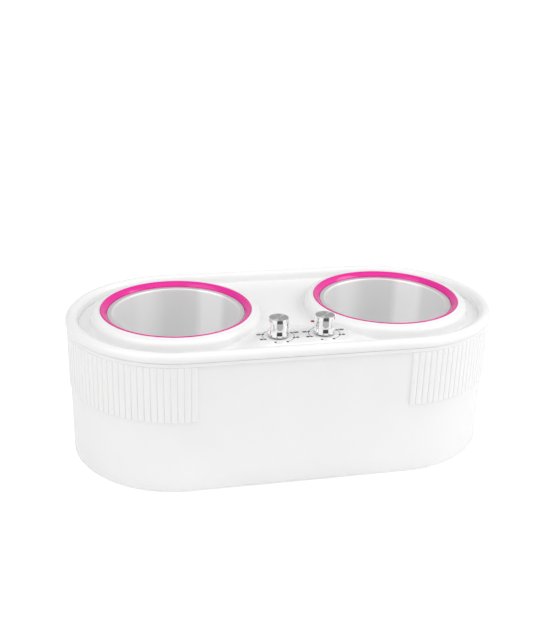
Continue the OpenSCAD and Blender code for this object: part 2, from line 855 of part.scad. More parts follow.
module route_tube(p, r) {
    sides = 8;
    starts = side_dirs(p, 0, side_dir(route_dir(p, 0)));
    points = [for (i = [0:len(p) - 1], k = [0:sides - 1])
        let (d = route_dir(p, i), s = starts[i], a = 360 * k / sides)
        p[i] + r * (cos(a) * s + sin(a) * cross(d, s))];
    last = (len(p) - 1) * sides;
    polyhedron(points, concat(
        [[for (k = [0:sides - 1]) k]],
        [for (i = [0:len(p) - 2], k = [0:sides - 1])
            let (a = i * sides + k, b = i * sides + (k + 1) % sides) [a, a + sides, b + sides, b]],
        [[for (k = [sides - 1:-1:0]) last + k]]
    ));
}

// Draws the right-hand piece as it is and the left-hand piece as its mirror image
module for_side(side) {
    mirror([side > 0 ? 0 : 1, 0, 0]) children();
}

// Sensor bulb in the insulation's slot, and the capillary down to it from the thermostat
module sensor(side) {
    reach = well_out_r + bulb_r + rim_gap;
    bulb = [half_run - reach * cos(bulb_angle), -reach * sin(bulb_angle), bulb_top];
    start = [knob_spacing / 2, -knob_y + 8, thermostat_foot];
    color("peru") for_side(side) {
        translate(bulb - [0, 0, bulb_l]) cylinder(r = bulb_r, h = bulb_l);
        route_tube([
            start,
            start + [0, 0, -8],
            start + [4, 4, -14],
            start + [14, 8, -12],
            bulb + [-8, -8, 0],
            bulb + [-4, -4, 5],
            bulb + [0, 0, 4],
            bulb + [0, 0, -1]
        ], capillary_r);
    }
}

module indicator_lens() {
    color("red") translate([lens_x, lens_y, 0]) {
        translate([0, 0, deck_under - 1]) cylinder(d = lens_d, h = wall + 1.2);
        translate([0, 0, deck_z]) cylinder(d1 = lens_d + 0.6, d2 = lens_d - 0.6, h = 1);
    }
}

// Small board with the lamp under the lens and a resistor beside it
module indicator_board() {
    lamp_r = 1.5;
    color("darkgreen") difference() {
        translate([lens_x, lens_y, 0]) {
            block(board_size, board_z - board_size.z);
            translate([0, 0, board_z - sink]) cylinder(r = lamp_r, h = deck_under - board_z - 0.8);
            translate([0, 4.2, 0]) block([8, 2.4, 2.4 + sink], board_z - sink);
        }
        at_board_screws() translate([0, 0, board_z - board_size.z - cut])
            cylinder(r = board_screw_r + 0.35, h = board_size.z + 2 * cut);
    }
}

module board_screws() {
    color("silver") at_board_screws() translate([0, 0, board_z - board_size.z])
        screw(2, 1.6, board_screw_r, board_screw_l);
}

module power_inlet() {
    back_y = inlet_face_y - inlet_body.y;
    front_y = inlet_face_y + inlet_flange.y;
    pin_gap = 0.02;
    slot = pin_size + [2 * pin_gap, 0, 2 * pin_gap];
    color("#1a1a1a") difference() {
        union() {
            translate([-inlet_flange.x / 2, inlet_face_y, inlet_z - inlet_flange.z / 2])
                cube(inlet_flange);
            translate([-inlet_body.x / 2, back_y, inlet_z - inlet_body.z / 2])
                cube(inlet_body + [0, cut, 0]);
        }
        translate([-inlet_cavity.x / 2, front_y - inlet_cavity.y, inlet_z - inlet_cavity.z / 2])
            cube(inlet_cavity + [0, cut, 0]);
        at_inlet_screws(front_y) {
            translate([0, 0, -cut]) cylinder(r = small_pilot_r, h = inlet_flange.y + 2 * cut);
            cylinder(r1 = inlet_screw_head + seat_gap, r2 = small_pilot_r, h = inlet_screw_cone);
        }
        for (p = pins)
            translate([p.x - slot.x / 2, pin_back_y, inlet_z + p.y - slot.z / 2]) cube(slot);
    }
}

module inlet_pins() {
    color("goldenrod") for (p = pins)
        translate([p.x - pin_size.x / 2, pin_back_y, inlet_z + p.y - pin_size.z / 2])
            cube(pin_size);
}

module inlet_screws() {
    recess_w = 3.4;
    color("silver") at_inlet_screws(inlet_face_y + inlet_flange.y) difference() {
        union() {
            cylinder(r1 = inlet_screw_head, r2 = small_screw_r, h = inlet_screw_cone);
            cylinder(r = small_screw_r, h = inlet_screw_l);
        }
        cross_recess(recess_w, 0.8);
    }
}

module terminal_block() {
    way_r = 1.6;
    color("ivory") difference() {
        union() {
            translate([0, block_y, 0]) block(block_size, base_top);
            for (sx = [-1, 1]) translate([sx * block_peg_x, block_y, base_z + sink])
                cylinder(r = block_peg_r, h = base_t);
        }
        for (x = [-pole_x, 0, pole_x]) translate([x, block_y, pole_z]) {
            rotate([-90, 0, 0]) translate([0, 0, -block_size.y / 2 - cut])
                cylinder(r = way_r, h = block_size.y + 2 * cut);
            cylinder(r = 2, h = block_size.z);
        }
    }
}

// Wire from under an inlet pin down to the back of the terminal block
module mains_wire(pin, pole) {
    under_pin = pin_size.z / 2 + wire_r;
    start = [pin.x, pin_back_y + 1, inlet_z + pin.y - under_pin];
    finish = [pole, block_y + block_size.y / 2 - 4, pole_z];
    route_tube([
        start,
        start + [0, -4, -1],
        [pole, start.y - 6, start.z - 10],
        finish + [0, 7, 4],
        finish + [0, 5, 0],
        finish
    ], wire_r);
}

module wire_live() {
    color("saddlebrown") mains_wire(pins[1], pole_x);
}

module wire_neutral() {
    color("royalblue") mains_wire(pins[0], -pole_x);
}

module wire_earth() {
    color("yellowgreen") mains_wire(pins[2], 0);
}

// Wires from the terminal block to one heater, and from the heater to the thermostat
module leads(side) {
    front = block_y - block_size.y / 2;
    tab_foot = bridge_top - heater_tab.z;
    heater_x = half_run - heater_tab_x - heater_tab.x / 2 - lead_r;
    thermostat_x = knob_spacing / 2 + thermostat_tab_x + thermostat_tab.x / 2 + lead_r;
    tab_end = thermostat_foot - thermostat_tab.z;
    low_z = base_top + 12;
    bend = 4.2;
    clear = 8;
    color("firebrick") for_side(side) {
        route_tube([
            [pole_x, front + 3, pole_z],
            [pole_x, front - 4, pole_z],
            [2 * pole_x, front - block_size.y, pole_z + 2],
            [heater_x - 1.5 * bend, heater_tab_y + 1, low_z],
            [heater_x, heater_tab_y, tab_foot - 1],
            [heater_x, heater_tab_y, tab_foot + 7]
        ], lead_r);
        route_tube([
            [thermostat_x, -knob_y, tab_end + 5.5],
            [thermostat_x, -knob_y, tab_end - 5],
            [thermostat_x + 2 * bend, -knob_y + 5 * bend, (tab_end + low_z) / 2],
            [heater_x - 3.4 * bend, -heater_tab_y - 3 * bend, low_z + clear],
            [heater_x - 2 * bend, -heater_tab_y - 3, low_z],
            [heater_x, -heater_tab_y, tab_foot - 1],
            [heater_x, -heater_tab_y, tab_foot + 7]
        ], lead_r);
    }
}

module cover_screws() {
    color("silver") at_bosses() translate([0, 0, lug_z])
        screw(screw_d, screw_head_h, screw_d / 2, cover_screw_l);
}

module base_screws() {
    color("silver") at_bosses() translate([0, 0, base_z])
        screw(screw_d, screw_head_h, screw_d / 2, base_screw_l);
}

module accent_ring_left() { accent_ring(-1); }
module accent_ring_right() { accent_ring(1); }
module well_seal_left() { well_seal(-1); }
module well_seal_right() { well_seal(1); }
module heating_well_left() { heating_well(-1); }
module heating_well_right() { heating_well(1); }
module wax_pot_left() { wax_pot(-1); }
module wax_pot_right() { wax_pot(1); }
module heater_left() { heater(-1); }
module heater_right() { heater(1); }
module insulation_left() { insulation(-1); }
module insulation_right() { insulation(1); }
module well_bracket_left() { well_bracket(-1); }
module well_bracket_right() { well_bracket(1); }
module thermal_cutout_left() { thermal_cutout(-1); }
module thermal_cutout_right() { thermal_cutout(1); }
module thermostat_left() { thermostat(-1); }
module thermostat_right() { thermostat(1); }
module thermostat_shaft_left() { thermostat_shaft(-1); }
module thermostat_shaft_right() { thermostat_shaft(1); }
module sensor_left() { sensor(-1); }
module sensor_right() { sensor(1); }
module knob_left() { knob(-1); }
module knob_right() { knob(1); }
module knob_cap_left() { knob_cap(-1); }
module knob_cap_right() { knob_cap(1); }
module leads_left() { leads(-1); }
module leads_right() { leads(1); }

body_shell();
top_cover();
base_plate();
rubber_feet();
accent_ring_left();
accent_ring_right();
well_seal_left();
well_seal_right();
heating_well_left();
heating_well_right();
wax_pot_left();
wax_pot_right();
heater_left();
heater_right();
insulation_left();
insulation_right();
well_bracket_left();
well_bracket_right();
well_nuts();
bracket_screws();
thermal_cutout_left();
thermal_cutout_right();
cutout_screws();
thermostat_left();
thermostat_right();
thermostat_shaft_left();
thermostat_shaft_right();
thermostat_nuts();
sensor_left();
sensor_right();
knob_left();
knob_right();
knob_cap_left();
knob_cap_right();
indicator_lens();
indicator_board();
board_screws();
power_inlet();
inlet_pins();
inlet_screws();
terminal_block();
wire_live();
wire_neutral();
wire_earth();
leads_left();
leads_right();
cover_screws();
base_screws();
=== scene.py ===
"""Looks of a double wax warmer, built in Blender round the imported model.

Every length is in metres. The origin lies on the table under the centre of the housing,
+X runs along the housing and the knobs lie toward -Y.
"""

import json
import math

import bpy
from mathutils import Matrix, Vector
from mathutils.geometry import delaunay_2d_cdt


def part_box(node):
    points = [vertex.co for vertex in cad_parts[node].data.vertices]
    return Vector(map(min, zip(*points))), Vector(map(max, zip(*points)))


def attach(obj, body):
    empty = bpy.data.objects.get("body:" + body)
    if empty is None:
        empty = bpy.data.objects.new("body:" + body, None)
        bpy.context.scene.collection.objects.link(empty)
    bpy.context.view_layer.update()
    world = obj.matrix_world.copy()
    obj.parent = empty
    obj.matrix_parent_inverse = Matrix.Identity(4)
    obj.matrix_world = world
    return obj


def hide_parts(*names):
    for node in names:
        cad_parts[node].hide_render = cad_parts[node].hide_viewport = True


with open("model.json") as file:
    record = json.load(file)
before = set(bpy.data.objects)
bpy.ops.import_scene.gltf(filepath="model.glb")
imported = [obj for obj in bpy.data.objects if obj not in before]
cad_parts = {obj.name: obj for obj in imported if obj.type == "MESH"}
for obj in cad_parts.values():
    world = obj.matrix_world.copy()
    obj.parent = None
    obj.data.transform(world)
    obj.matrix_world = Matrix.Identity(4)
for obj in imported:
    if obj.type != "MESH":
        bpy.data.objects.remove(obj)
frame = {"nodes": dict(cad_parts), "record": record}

bl_info = {
    "name": "Double wax warmer",
    "version": (1, 0, 0),
    "blender": (4, 5, 0),
    "location": "3D View > Sidebar > Wax warmer",
    "description": "Builds the visible pieces, materials and studio of a double wax warmer",
    "category": "Object",
}

MM = 0.001
SIDES = ((-1, "left"), (1, "right"))


# Settings of the panel in the 3D view's sidebar

def length(label, text, value):
    return bpy.props.FloatProperty(
        name=label, description=text, default=value * MM, min=0.0, unit="LENGTH", precision=5)


def colour(label, text, value):
    return bpy.props.FloatVectorProperty(
        name=label, description=text, default=value, min=0.0, max=1.0, size=3, subtype="COLOR")


class WarmerSettings(bpy.types.PropertyGroup):
    """Sizes and colours that can be changed before the pieces are built"""

    wall: length("Wall", "Wall thickness of the mouldings", 2.6)
    bead: length("Rim bead", "Radius of the rounded rim", 5.5)
    deck_drop: length("Deck drop", "Depth of the deck below the ring lips", 12)
    rim_drop: length("Rim drop", "Depth of the rim's top below the ring lips", 3)
    seam_drop: length("Seam drop", "Depth of the seam below the middle of the rim bead", 2.2)
    strip: length("Strip", "Height of the smooth strip under the rim", 4.2)
    strip_inset: length("Strip inset", "How far the strip stands back from the rim", 1)
    wall_inset: length("Wall inset", "How far the wall's top stands back from the rim", 2.4)
    draft: length("Draft", "How far the walls draw in from top to bottom", 0.2)
    seam_gap: length("Seam gap", "Height of the gap that shows under the rim", 0.5)
    collar_w: length("Collar width", "Width of the collar outside each ring", 8.4)
    collar_round: length("Collar round", "Radius of the collar's outer edge", 6)
    band_height: length("Band height", "Height of the ribbed bands", 50)
    band_run: length("Band run", "How far a band runs on past the round end", 5.5)
    rib_pitch: length("Rib pitch", "Spacing of the ribs", 5.5)
    rib_proud: length("Rib height", "How far the rib crests stand out", 1.3)
    groove_proud: length("Groove height", "How far the grooves stay out from the wall", 0.6)
    panel_drop: length("Panel drop", "Depth of the control panel below the lips", 3.5)
    panel_end: length("Panel end", "Radius of the panel's round ends", 18)
    panel_length: length("Panel length", "Length of the control panel", 83)
    ramp: length("Ramp", "Width of the slope from the deck up to the panel", 26)
    dial_radius: length("Dial radius", "Radius of the marks round each knob", 13.5)
    plastic: colour("Plastic", "Colour of the white mouldings", (0.88, 0.88, 0.878))
    ring: colour("Rings", "Colour of the rings round the wells", (0.8, 0.004, 0.31))
    pot: colour("Pots", "Colour of the aluminium pots", (0.94, 0.94, 0.94))


def settings():
    return bpy.context.scene.warmer


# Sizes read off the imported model

PANEL_FORWARD = 4 * MM
SEAT_GAP = 0.2 * MM


def turned(node_name):
    """Centre in plan, radius, foot and top of a turned node."""
    low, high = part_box(node_name)
    centre = ((low[0] + high[0]) / 2, (low[1] + high[1]) / 2)
    return centre, (high[0] - low[0]) / 2, low[2], high[2]


class Sizes:
    """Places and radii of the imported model's parts, with those that follow from the settings."""

    def __init__(self, s):
        cover_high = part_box("top_cover")[1]
        self.rim_r = cover_high[1]
        self.run = cover_high[0] - cover_high[1]
        ring_low, ring_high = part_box("accent_ring_left")
        self.lip = ring_high[2]
        self.ring_out = (ring_high[1] - ring_low[1]) / 2
        self.seat = self.ring_out + SEAT_GAP
        inlet_low, inlet_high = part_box("power_inlet")
        self.inlet_z = (inlet_high[2] + inlet_low[2]) / 2
        self.body_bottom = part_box("body_shell")[0][2]
        self.bead_c = self.rim_r - s.bead
        self.bead_in = self.bead_c - s.bead
        self.bead_z = self.lip - s.rim_drop - s.bead
        self.seam = self.bead_z - s.seam_drop
        self.deck = self.lip - s.deck_drop
        self.deck_under = self.deck - s.wall
        self.panel = self.lip - s.panel_drop
        self.knob_x, self.knob_y = turned("knob_right")[0]
        self.panel_y = self.knob_y - PANEL_FORWARD
        self.panel_run = s.panel_length / 2 - s.panel_end


def sizes():
    return Sizes(settings())


# Mesh helpers

def make_object(name, verts, faces, sharp=35, centre=(0, 0)):
    """New mesh object in the scene, smooth except at edges sharper than the angle in degrees."""
    mesh = bpy.data.meshes.new(name)
    mesh.from_pydata(verts, [], faces)
    mesh.validate()
    mesh.shade_smooth()
    mesh.set_sharp_from_angle(angle=math.radians(sharp))
    obj = bpy.data.objects.new(name, mesh)
    obj.location = (*centre, 0)
    bpy.context.collection.objects.link(obj)
    return obj


def settle(obj, body, slot, replaced=None, look=None):
    """Gives a piece its material, taken from its slot unless a look is given, puts it under its body and
    hides the node that it replaces.
    """
    obj.data.materials.append(look or slot_look(slot))
    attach(obj, body)
    if replaced:
        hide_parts(replaced)


def rounded(points, steps=5):
    """Path through (a, b, radius) corners, with each corner turned into an arc of its radius."""
    path = []
    last = len(points) - 1
    for i, (x, y, radius) in enumerate(points):
        if radius == 0 or i in (0, last):
            path.append((x, y))
            continue
        here = Vector((x, y))
        to_prev = (Vector(points[i - 1][:2]) - here).normalized()
        to_next = (Vector(points[i + 1][:2]) - here).normalized()
        turn = to_prev.angle(to_next)
        reach = radius / math.tan(turn / 2)
        centre = here + (to_prev + to_next).normalized() * (radius / math.sin(turn / 2))
        start = here + to_prev * reach - centre
        sweep = math.pi - turn
        if start.x * to_next.y - start.y * to_next.x < 0:
            sweep = -sweep
        for k in range(steps + 1):
            c, s = math.cos(sweep * k / steps), math.sin(sweep * k / steps)
            path.append((centre.x + c * start.x - s * start.y, centre.y + s * start.x + c * start.y))
    return path


def arc_points(cx, cy, r, start, end, steps):
    """Points on an arc, angles in degrees."""
    turns = [math.radians(start + (end - start) * k / steps) for k in range(steps + 1)]
    return [(cx + r * math.cos(turn), cy + r * math.sin(turn)) for turn in turns]


def circle_points(cx, cy, radius, count):
    turns = [2 * math.pi * k / count for k in range(count)]
    return [(cx + radius * math.cos(turn), cy + radius * math.sin(turn)) for turn in turns]


def turned_form(profile, steps, centre=(0, 0), closed=False):
    """Vertices and faces of (radius, height) points turned round an upright axis.

    A point on the axis becomes one vertex.
    """
    verts, rings = [], []
    for r, z in profile:
        places = circle_points(*centre, r, steps) if r > 0 else [centre]
        first = len(verts)
        verts += [(x, y, z) for x, y in places]
        rings.append([first + k % len(places) for k in range(steps)])
    if closed:
        rings.append(rings[0])
    faces = []
    for low, high in zip(rings, rings[1:]):
        for k in range(steps):
            n = (k + 1) % steps
            face = tuple(dict.fromkeys((low[k], low[n], high[n], high[k])))
            if len(face) > 2:
                faces.append(face)
    return verts, faces


def revolve(name, profile, steps=96, closed=False, sharp=35, centre=(0, 0)):
    """New object turned round its own upright axis."""
    return make_object(name, *turned_form(profile, steps, closed=closed), sharp, centre)


def grid_faces(columns, rows, closed_rows, skip=None):
    """Quads of a grid whose columns close on themselves."""
    faces = []
    for c in range(columns):
        n = (c + 1) % columns
        for r in range(rows if closed_rows else rows - 1):
            if skip and skip(c, r):
                continue
            up = (r + 1) % rows
            faces.append((c * rows + r, n * rows + r, n * rows + up, c * rows + up))
    return faces


def join_parts(parts):
    """One list of vertices and faces from several."""
    verts, faces = [], []
    for part_verts, part_faces in parts:
        base = len(verts)
        verts += part_verts
        faces += [tuple(base + v for v in face) for face in part_faces]
    return verts, faces


# Stadiums: a place is where its offset starts, as an x on the middle line, and the offset's direction

def end_place(run, side, angle):
    return side * run, math.cos(angle), math.sin(angle)


def side_place(x, side):
    return x, 0.0, side


def at(place, radius):
    """Point at that distance from the middle line."""
    x, across, along = place
    return x + radius * across, radius * along


def stadium_places(run, end_steps, side_steps):
    """Places round a stadium, counter-clockwise from the start of the right-hand end."""
    places = []
    for side in (1, -1):
        for k in range(end_steps):
            places.append(end_place(run, side, -side * math.pi / 2 + math.pi * k / end_steps))
        for k in range(side_steps):
            places.append(side_place(side * (run - 2 * run * k / side_steps), side))
    return places


# The housing with its ribbed bands

STEPS_PER_RIB = 12
RIB_FULLNESS = 0.3
PLAIN_STEPS = 24
# Half sizes of the window for the inlet and of the pad round it
WINDOW = (14.2 * MM, 10.4 * MM)
PAD = (27 * MM, 13.5 * MM)
PAD_DEPTH = 4 * MM
TONGUE_GAP = 0.7 * MM
SEAM_DEPTH = 1.4 * MM


def housing_places(sz, s):
    """Places round the wall, each with how far the band stands out there."""
    wall_r = sz.rim_r - s.wall_inset
    band_length = math.pi * wall_r + 2 * s.band_run
    ribs = round(band_length / s.rib_pitch)
    pitch = band_length / ribs
    quarter = wall_r * math.pi / 2
    plain_x = sz.run - s.band_run
    places = []
    for side in (1, -1):
        band = []
        for k in range(ribs * STEPS_PER_RIB + 1):
            along = -band_length / 2 + pitch * k / STEPS_PER_RIB
            if abs(along) <= quarter:
                place = end_place(sz.run, side, along / wall_r + (0 if side > 0 else math.pi))
            else:
                place = side_place(side * (sz.run + quarter - abs(along)), math.copysign(side, side * along))
            turn = math.pi * (k % STEPS_PER_RIB) / STEPS_PER_RIB
            crest = (s.rib_proud - s.groove_proud) * math.sin(turn) ** RIB_FULLNESS
            band.append((place, s.groove_proud + crest))
        places += [(band[0][0], 0.0), *band, (band[-1][0], 0.0)]
        stops = {plain_x * (1 - 2 * k / PLAIN_STEPS) for k in range(1, PLAIN_STEPS)}
        if side > 0:
            stops |= {WINDOW[0], -WINDOW[0]}
        places += [(side_place(side * x, side), 0.0) for x in sorted(stops, reverse=True)]
    return places


def wall_column(sz, s, swell):
    """(radius, height) points up the outside of the wall and down its inside."""
    bottom, seam = sz.body_bottom, sz.seam
    strip_z = seam - s.strip
    band_low = strip_z - s.band_height
    top_r = sz.rim_r - s.wall_inset
    foot_r = top_r - s.draft
    strip_r = sz.rim_r - s.strip_inset
    tongue_r = sz.rim_r - s.wall - TONGUE_GAP
    tongue_z = seam + s.bead / 2
    gap_z = seam - s.seam_gap
    window_low, window_high = sz.inlet_z - WINDOW[1], sz.inlet_z + WINDOW[1]

    def wall_at(z):
        return foot_r + s.draft * (z - bottom) / (strip_z - bottom)

    def band_at(z, soft=0.0):
        """Face of the band, or of the plain wall where there is no band."""
        return max(top_r + swell - soft, wall_at(band_low)) if swell else wall_at(z)

    return [
        (foot_r - s.wall, bottom),
        (foot_r - 1.2 * MM, bottom),
        (foot_r - 0.55 * MM, bottom + 0.2 * MM),
        (foot_r - 0.15 * MM, bottom + 0.6 * MM),
        (wall_at(bottom + 1.2 * MM), bottom + 1.2 * MM),
        (wall_at(window_low), window_low),
        (wall_at(window_high), window_high),
        (wall_at(band_low), band_low),
        (band_at(band_low, 0.35 * MM), band_low),
        (band_at(band_low), band_low + 0.4 * MM),
        (band_at(strip_z - 0.4 * MM), strip_z - 0.3 * MM),
        (top_r + max(swell - 0.3 * MM, 0.0), strip_z),
        (top_r, strip_z),
        (strip_r - 0.4 * MM, strip_z + 0.1 * MM),
        (strip_r, strip_z + 0.7 * MM),
        (strip_r, gap_z - 0.25 * MM),
        (strip_r - 0.25 * MM, gap_z),
        (strip_r - SEAM_DEPTH, gap_z),
        (strip_r - SEAM_DEPTH, seam),
        (tongue_r, seam),
        (tongue_r, tongue_z),
        (top_r - s.wall, tongue_z),
        (wall_at(window_high) - s.wall, window_high),
        (wall_at(window_low) - s.wall, window_low),
    ]


def housing_form(sz, s):
    """Vertices and faces of the housing, with the window for the inlet cut through its back."""
    places = housing_places(sz, s)
    verts = [(*at(place, r), z) for place, swell in places for r, z in wall_column(sz, s, swell)]
    rows = len(verts) // len(places)
    low_out, high_out, high_in, low_in = 5, 6, rows - 2, rows - 1
    window = [c for c, ((x, across, along), swell) in enumerate(places)
              if along > 0 and -WINDOW[0] < x <= WINDOW[0]]
    faces = grid_faces(len(places), rows, True, lambda c, r: c in window and r in (low_out, high_in))

    def quad(*corners):
        faces.append(tuple(c * rows + row for c, row in corners))

    for c in window:
        n = c + 1
        quad((c, low_out), (n, low_out), (n, low_in), (c, low_in))
        quad((c, high_in), (n, high_in), (n, high_out), (c, high_out))
    first, last = window[0], window[-1] + 1
    quad((first, low_out), (first, low_in), (first, high_in), (first, high_out))
    quad((last, high_out), (last, high_in), (last, low_in), (last, low_out))
    return verts, faces


def window_frame(y_low, y_high, centre_z, soft=0.6 * MM):
    """Pad round the window: a rectangular frame that stands in the XZ plane."""
    steps = [(PAD, y_low, 0.0), (PAD, y_high - soft, 0.0), (PAD, y_high, soft),
             (WINDOW, y_high, 0.0), (WINDOW, y_low, 0.0)]
    corners = ((-1, -1), (-1, 1), (1, 1), (1, -1))
    verts = [(i * (half[0] - shrink), y, centre_z + j * (half[1] - shrink))
             for half, y, shrink in steps for i, j in corners]
    return verts, grid_faces(len(steps), len(corners), True)


class WARMER_OT_housing(bpy.types.Operator):
    """Builds the housing with its ribbed bands and the window of the inlet"""

    bl_idname = "warmer.housing"
    bl_label = "Housing"

    def execute(self, context):
        s, sz = settings(), sizes()
        wall_r = sz.rim_r - s.wall_inset
        pad = window_frame(wall_r - PAD_DEPTH, wall_r, sz.inlet_z)
        obj = make_object("housing", *join_parts([housing_form(sz, s), pad]), sharp=32)
        settle(obj, "housing", "white_gloss", "body_shell")
        return {"FINISHED"}


# The top cover: one smooth height over the plan, and a rim section below it

# The plan's outline stays this far inside the rim's widest line, where the rim's section takes over
EDGE_SKIM = 0.004 * MM
WELL_STEPS = 252
END_STEPS = 110
# Rounding allowed where a point is on a line
HAIR = 1e-6
# Spacing, in millimetres, of the loops of points in from the outline, over the bead's inner edge,
# and out from the collar's and the panel's edges
RIM_STEPS = (0.05, 0.2, 0.5, 0.9, 1.5, 2.3, 3.3, 4.4, 5.5, 6.6, 7.7, 8.7)
BEAD_STEPS = (1.5, 0.9, 0.5, 0.25, 0.1, 0.03, 0, -0.1, -0.2, -0.35, -0.6, -1, -1.6, -2.4)
COLLAR_STEPS = (-5, -4.2, -3.4, -2.7, -2.1, -1.6, -1.2, -0.8, -0.5, -0.25, -0.08,
                0.15, 0.3, 0.5, 0.7, 0.9, 1.1, 1.3, 1.6, 2.1, 2.8, 3.8, 5.2)
PANEL_STEPS = (-2.5, -1.2, -0.8, -0.4, 0, 0.4, 0.8, 1.3, 2.2, 3.6, 5.6, 8.5, 12, 16, 21, 26)


def soft_max(a, b, blend):
    gap = max(blend - abs(a - b), 0.0)
    return max(a, b) + gap * gap / (4 * blend)


def ease(t):
    t = min(max(t, 0.0), 1.0)
    return t * t * (3 - 2 * t)


class CoverForm:
    """Height of the cover's upper face at any place in plan."""

    bead_foot_slope = 9
    collar_foot_slope = 6
    collar_drop = 0.6 * MM
    collar_dip = 0.7 * MM
    collar_blend = 3.5 * MM
    bead_blend = 1.2 * MM
    panel_step = 1.2 * MM
    panel_edge = 0.8 * MM
    ramp_hollow = 1.8
    groove = 1.5 * MM

    def __init__(self, sz, s):
        self.sz = sz
        self.s = s
        self.collar_r = sz.ring_out + s.collar_w
        self.collar_edge = self.collar_r - s.collar_round

    def rim_distance(self, x, y):
        return math.hypot(max(abs(x) - self.sz.run, 0.0), y)

    def panel_distance(self, x, y):
        return math.hypot(max(abs(x) - self.sz.panel_run, 0.0), y - self.sz.panel_y)

    def well_distance(self, x, y):
        return math.hypot(abs(x) - self.sz.run, y)

    def bead_height(self, r):
        sz, bead = self.sz, self.s.bead
        if r <= sz.bead_in:
            return sz.bead_z - self.bead_foot_slope * (sz.bead_in - r)
        return sz.bead_z + math.sqrt(max(bead ** 2 - (r - sz.bead_c) ** 2, 0.0))

    def collar_height(self, r):
        top, round_r, edge = self.sz.lip - self.collar_drop, self.s.collar_round, self.collar_edge
        middle = top - self.collar_dip - round_r
        if r < edge:
            t = max(r - self.sz.ring_out, 0.0) / (edge - self.sz.ring_out)
            return top - self.collar_dip * t * t
        if r < self.collar_r - 0.02 * MM:
            return middle + math.sqrt(round_r ** 2 - (r - edge) ** 2)
        return middle - self.collar_foot_slope * (r - self.collar_r)

    def panel_height(self, d):
        past = d - self.s.panel_end
        if past < self.panel_edge:
            return self.sz.panel - self.panel_step * ease((past + self.panel_edge) / (2 * self.panel_edge))
        t = min((past - self.panel_edge) / self.s.ramp, 1.0)
        rise = self.sz.panel - self.panel_step - self.sz.deck
        return self.sz.deck + rise * (1 - t) ** self.ramp_hollow

    def height(self, x, y):
        r = self.rim_distance(x, y)
        h = self.panel_height(self.panel_distance(x, y))
        h = soft_max(h, self.collar_height(self.well_distance(x, y)), self.collar_blend)
        h -= self.groove * ease((r - self.sz.bead_c + 6.5 * MM) / (3 * MM))
        h -= 3 * max(r - self.sz.bead_c + 3 * MM, 0.0)
        return soft_max(h, self.bead_height(r), self.bead_blend)

    def normal(self, x, y):
        e = 0.02 * MM
        dx = (self.height(x + e, y) - self.height(x - e, y)) / (2 * e)
        dy = (self.height(x, y + e) - self.height(x, y - e)) / (2 * e)
        return Vector((-dx, -dy, 1)).normalized()


def cover_points(form):
    """Plan points: the outline, then those along the rim, round the wells and round the panel."""
    sz, s = form.sz, form.s
    places = stadium_places(sz.run, END_STEPS, 120)
    outline = [at(place, sz.rim_r - EDGE_SKIM) for place in places]
    radii = [sz.rim_r - d * MM for d in RIM_STEPS] + [sz.bead_in + d * MM for d in BEAD_STEPS]
    rims = [at(place, radius) for radius in radii for place in places]
    radii = [sz.seat, sz.seat + 0.6 * MM, sz.seat + 1.3 * MM, form.collar_edge]
    radii += [form.collar_r + d * MM for d in COLLAR_STEPS]
    wells = []
    for side, name in SIDES:
        for radius in radii:
            wells += circle_points(side * sz.run, 0, radius, WELL_STEPS)
    panels = []
    places = stadium_places(sz.panel_run, 40, 26)
    for step in PANEL_STEPS:
        for place in places:
            x, y = at(place, s.panel_end + step * MM)
            panels.append((x, y + sz.panel_y))
    return outline, rims, wells, panels


def grid_points(sz, step=4 * MM):
    along, across = int((sz.run + sz.rim_r) / step), int(sz.rim_r / step)
    return [(i * step, j * step) for i in range(-along, along + 1) for j in range(-across, across + 1)]


def cover_plan(form, holes):
    """Triangles of the cover's upper face in plan: ([(x, y)], [faces])."""
    sz = form.sz
    outer = sz.rim_r - EDGE_SKIM
    cell = 0.32 * MM
    close, apart = 0.45 * cell, 1.6 * MM
    taken = {}
    points, edges = [], []

    def allowed(x, y):
        if form.rim_distance(x, y) > outer + HAIR or form.well_distance(x, y) < sz.seat - HAIR:
            return False
        return all(math.hypot(x - hx, y - hy) > hr - HAIR for hx, hy, hr in holes)

    def clear_of_feet(x, y):
        """Away from the steep foot of the collars and of the rim, which keep to their own loops."""
        collar_gap = abs(form.well_distance(x, y) - form.collar_r)
        return collar_gap > 2.7 * MM and form.rim_distance(x, y) < sz.bead_in - 2.5 * MM

    def crowded(x, y, reach):
        i, j, cells = round(x / cell), round(y / cell), int(reach / cell) + 1
        return any(math.hypot(px - x, py - y) < reach
                   for a in range(i - cells, i + cells + 1) for b in range(j - cells, j + cells + 1)
                   for px, py in taken.get((a, b), ()))

    def add(x, y):
        taken.setdefault((round(x / cell), round(y / cell)), []).append((x, y))
        points.append(Vector((x, y)))

    def add_loop(loop):
        first, count = len(points), len(loop)
        for x, y in loop:
            add(x, y)
        edges.extend((first + k, first + (k + 1) % count) for k in range(count))

    outline, rims, wells, panels = cover_points(form)
    for hole in holes:
        add_loop(circle_points(*hole, 40))
    add_loop(outline)
    for side, name in SIDES:
        add_loop(circle_points(side * sz.run, 0, sz.seat, WELL_STEPS))
    for x, y in rims:
        if allowed(x, y):
            add(x, y)
    for x, y in wells:
        if allowed(x, y) and not crowded(x, y, close):
            add(x, y)
    for inner, reach in ((panels, close), (grid_points(sz), apart)):
        for x, y in inner:
            if allowed(x, y) and clear_of_feet(x, y) and not crowded(x, y, reach):
                add(x, y)
    verts, cdt_edges, faces, *origins = delaunay_2d_cdt(points, edges, [], 0, 1e-7, False)
    plan = [(v.x, v.y) for v in verts]
    kept = [tuple(face) for face in faces
            if allowed(sum(plan[v][0] for v in face) / 3, sum(plan[v][1] for v in face) / 3)]
    return plan, kept


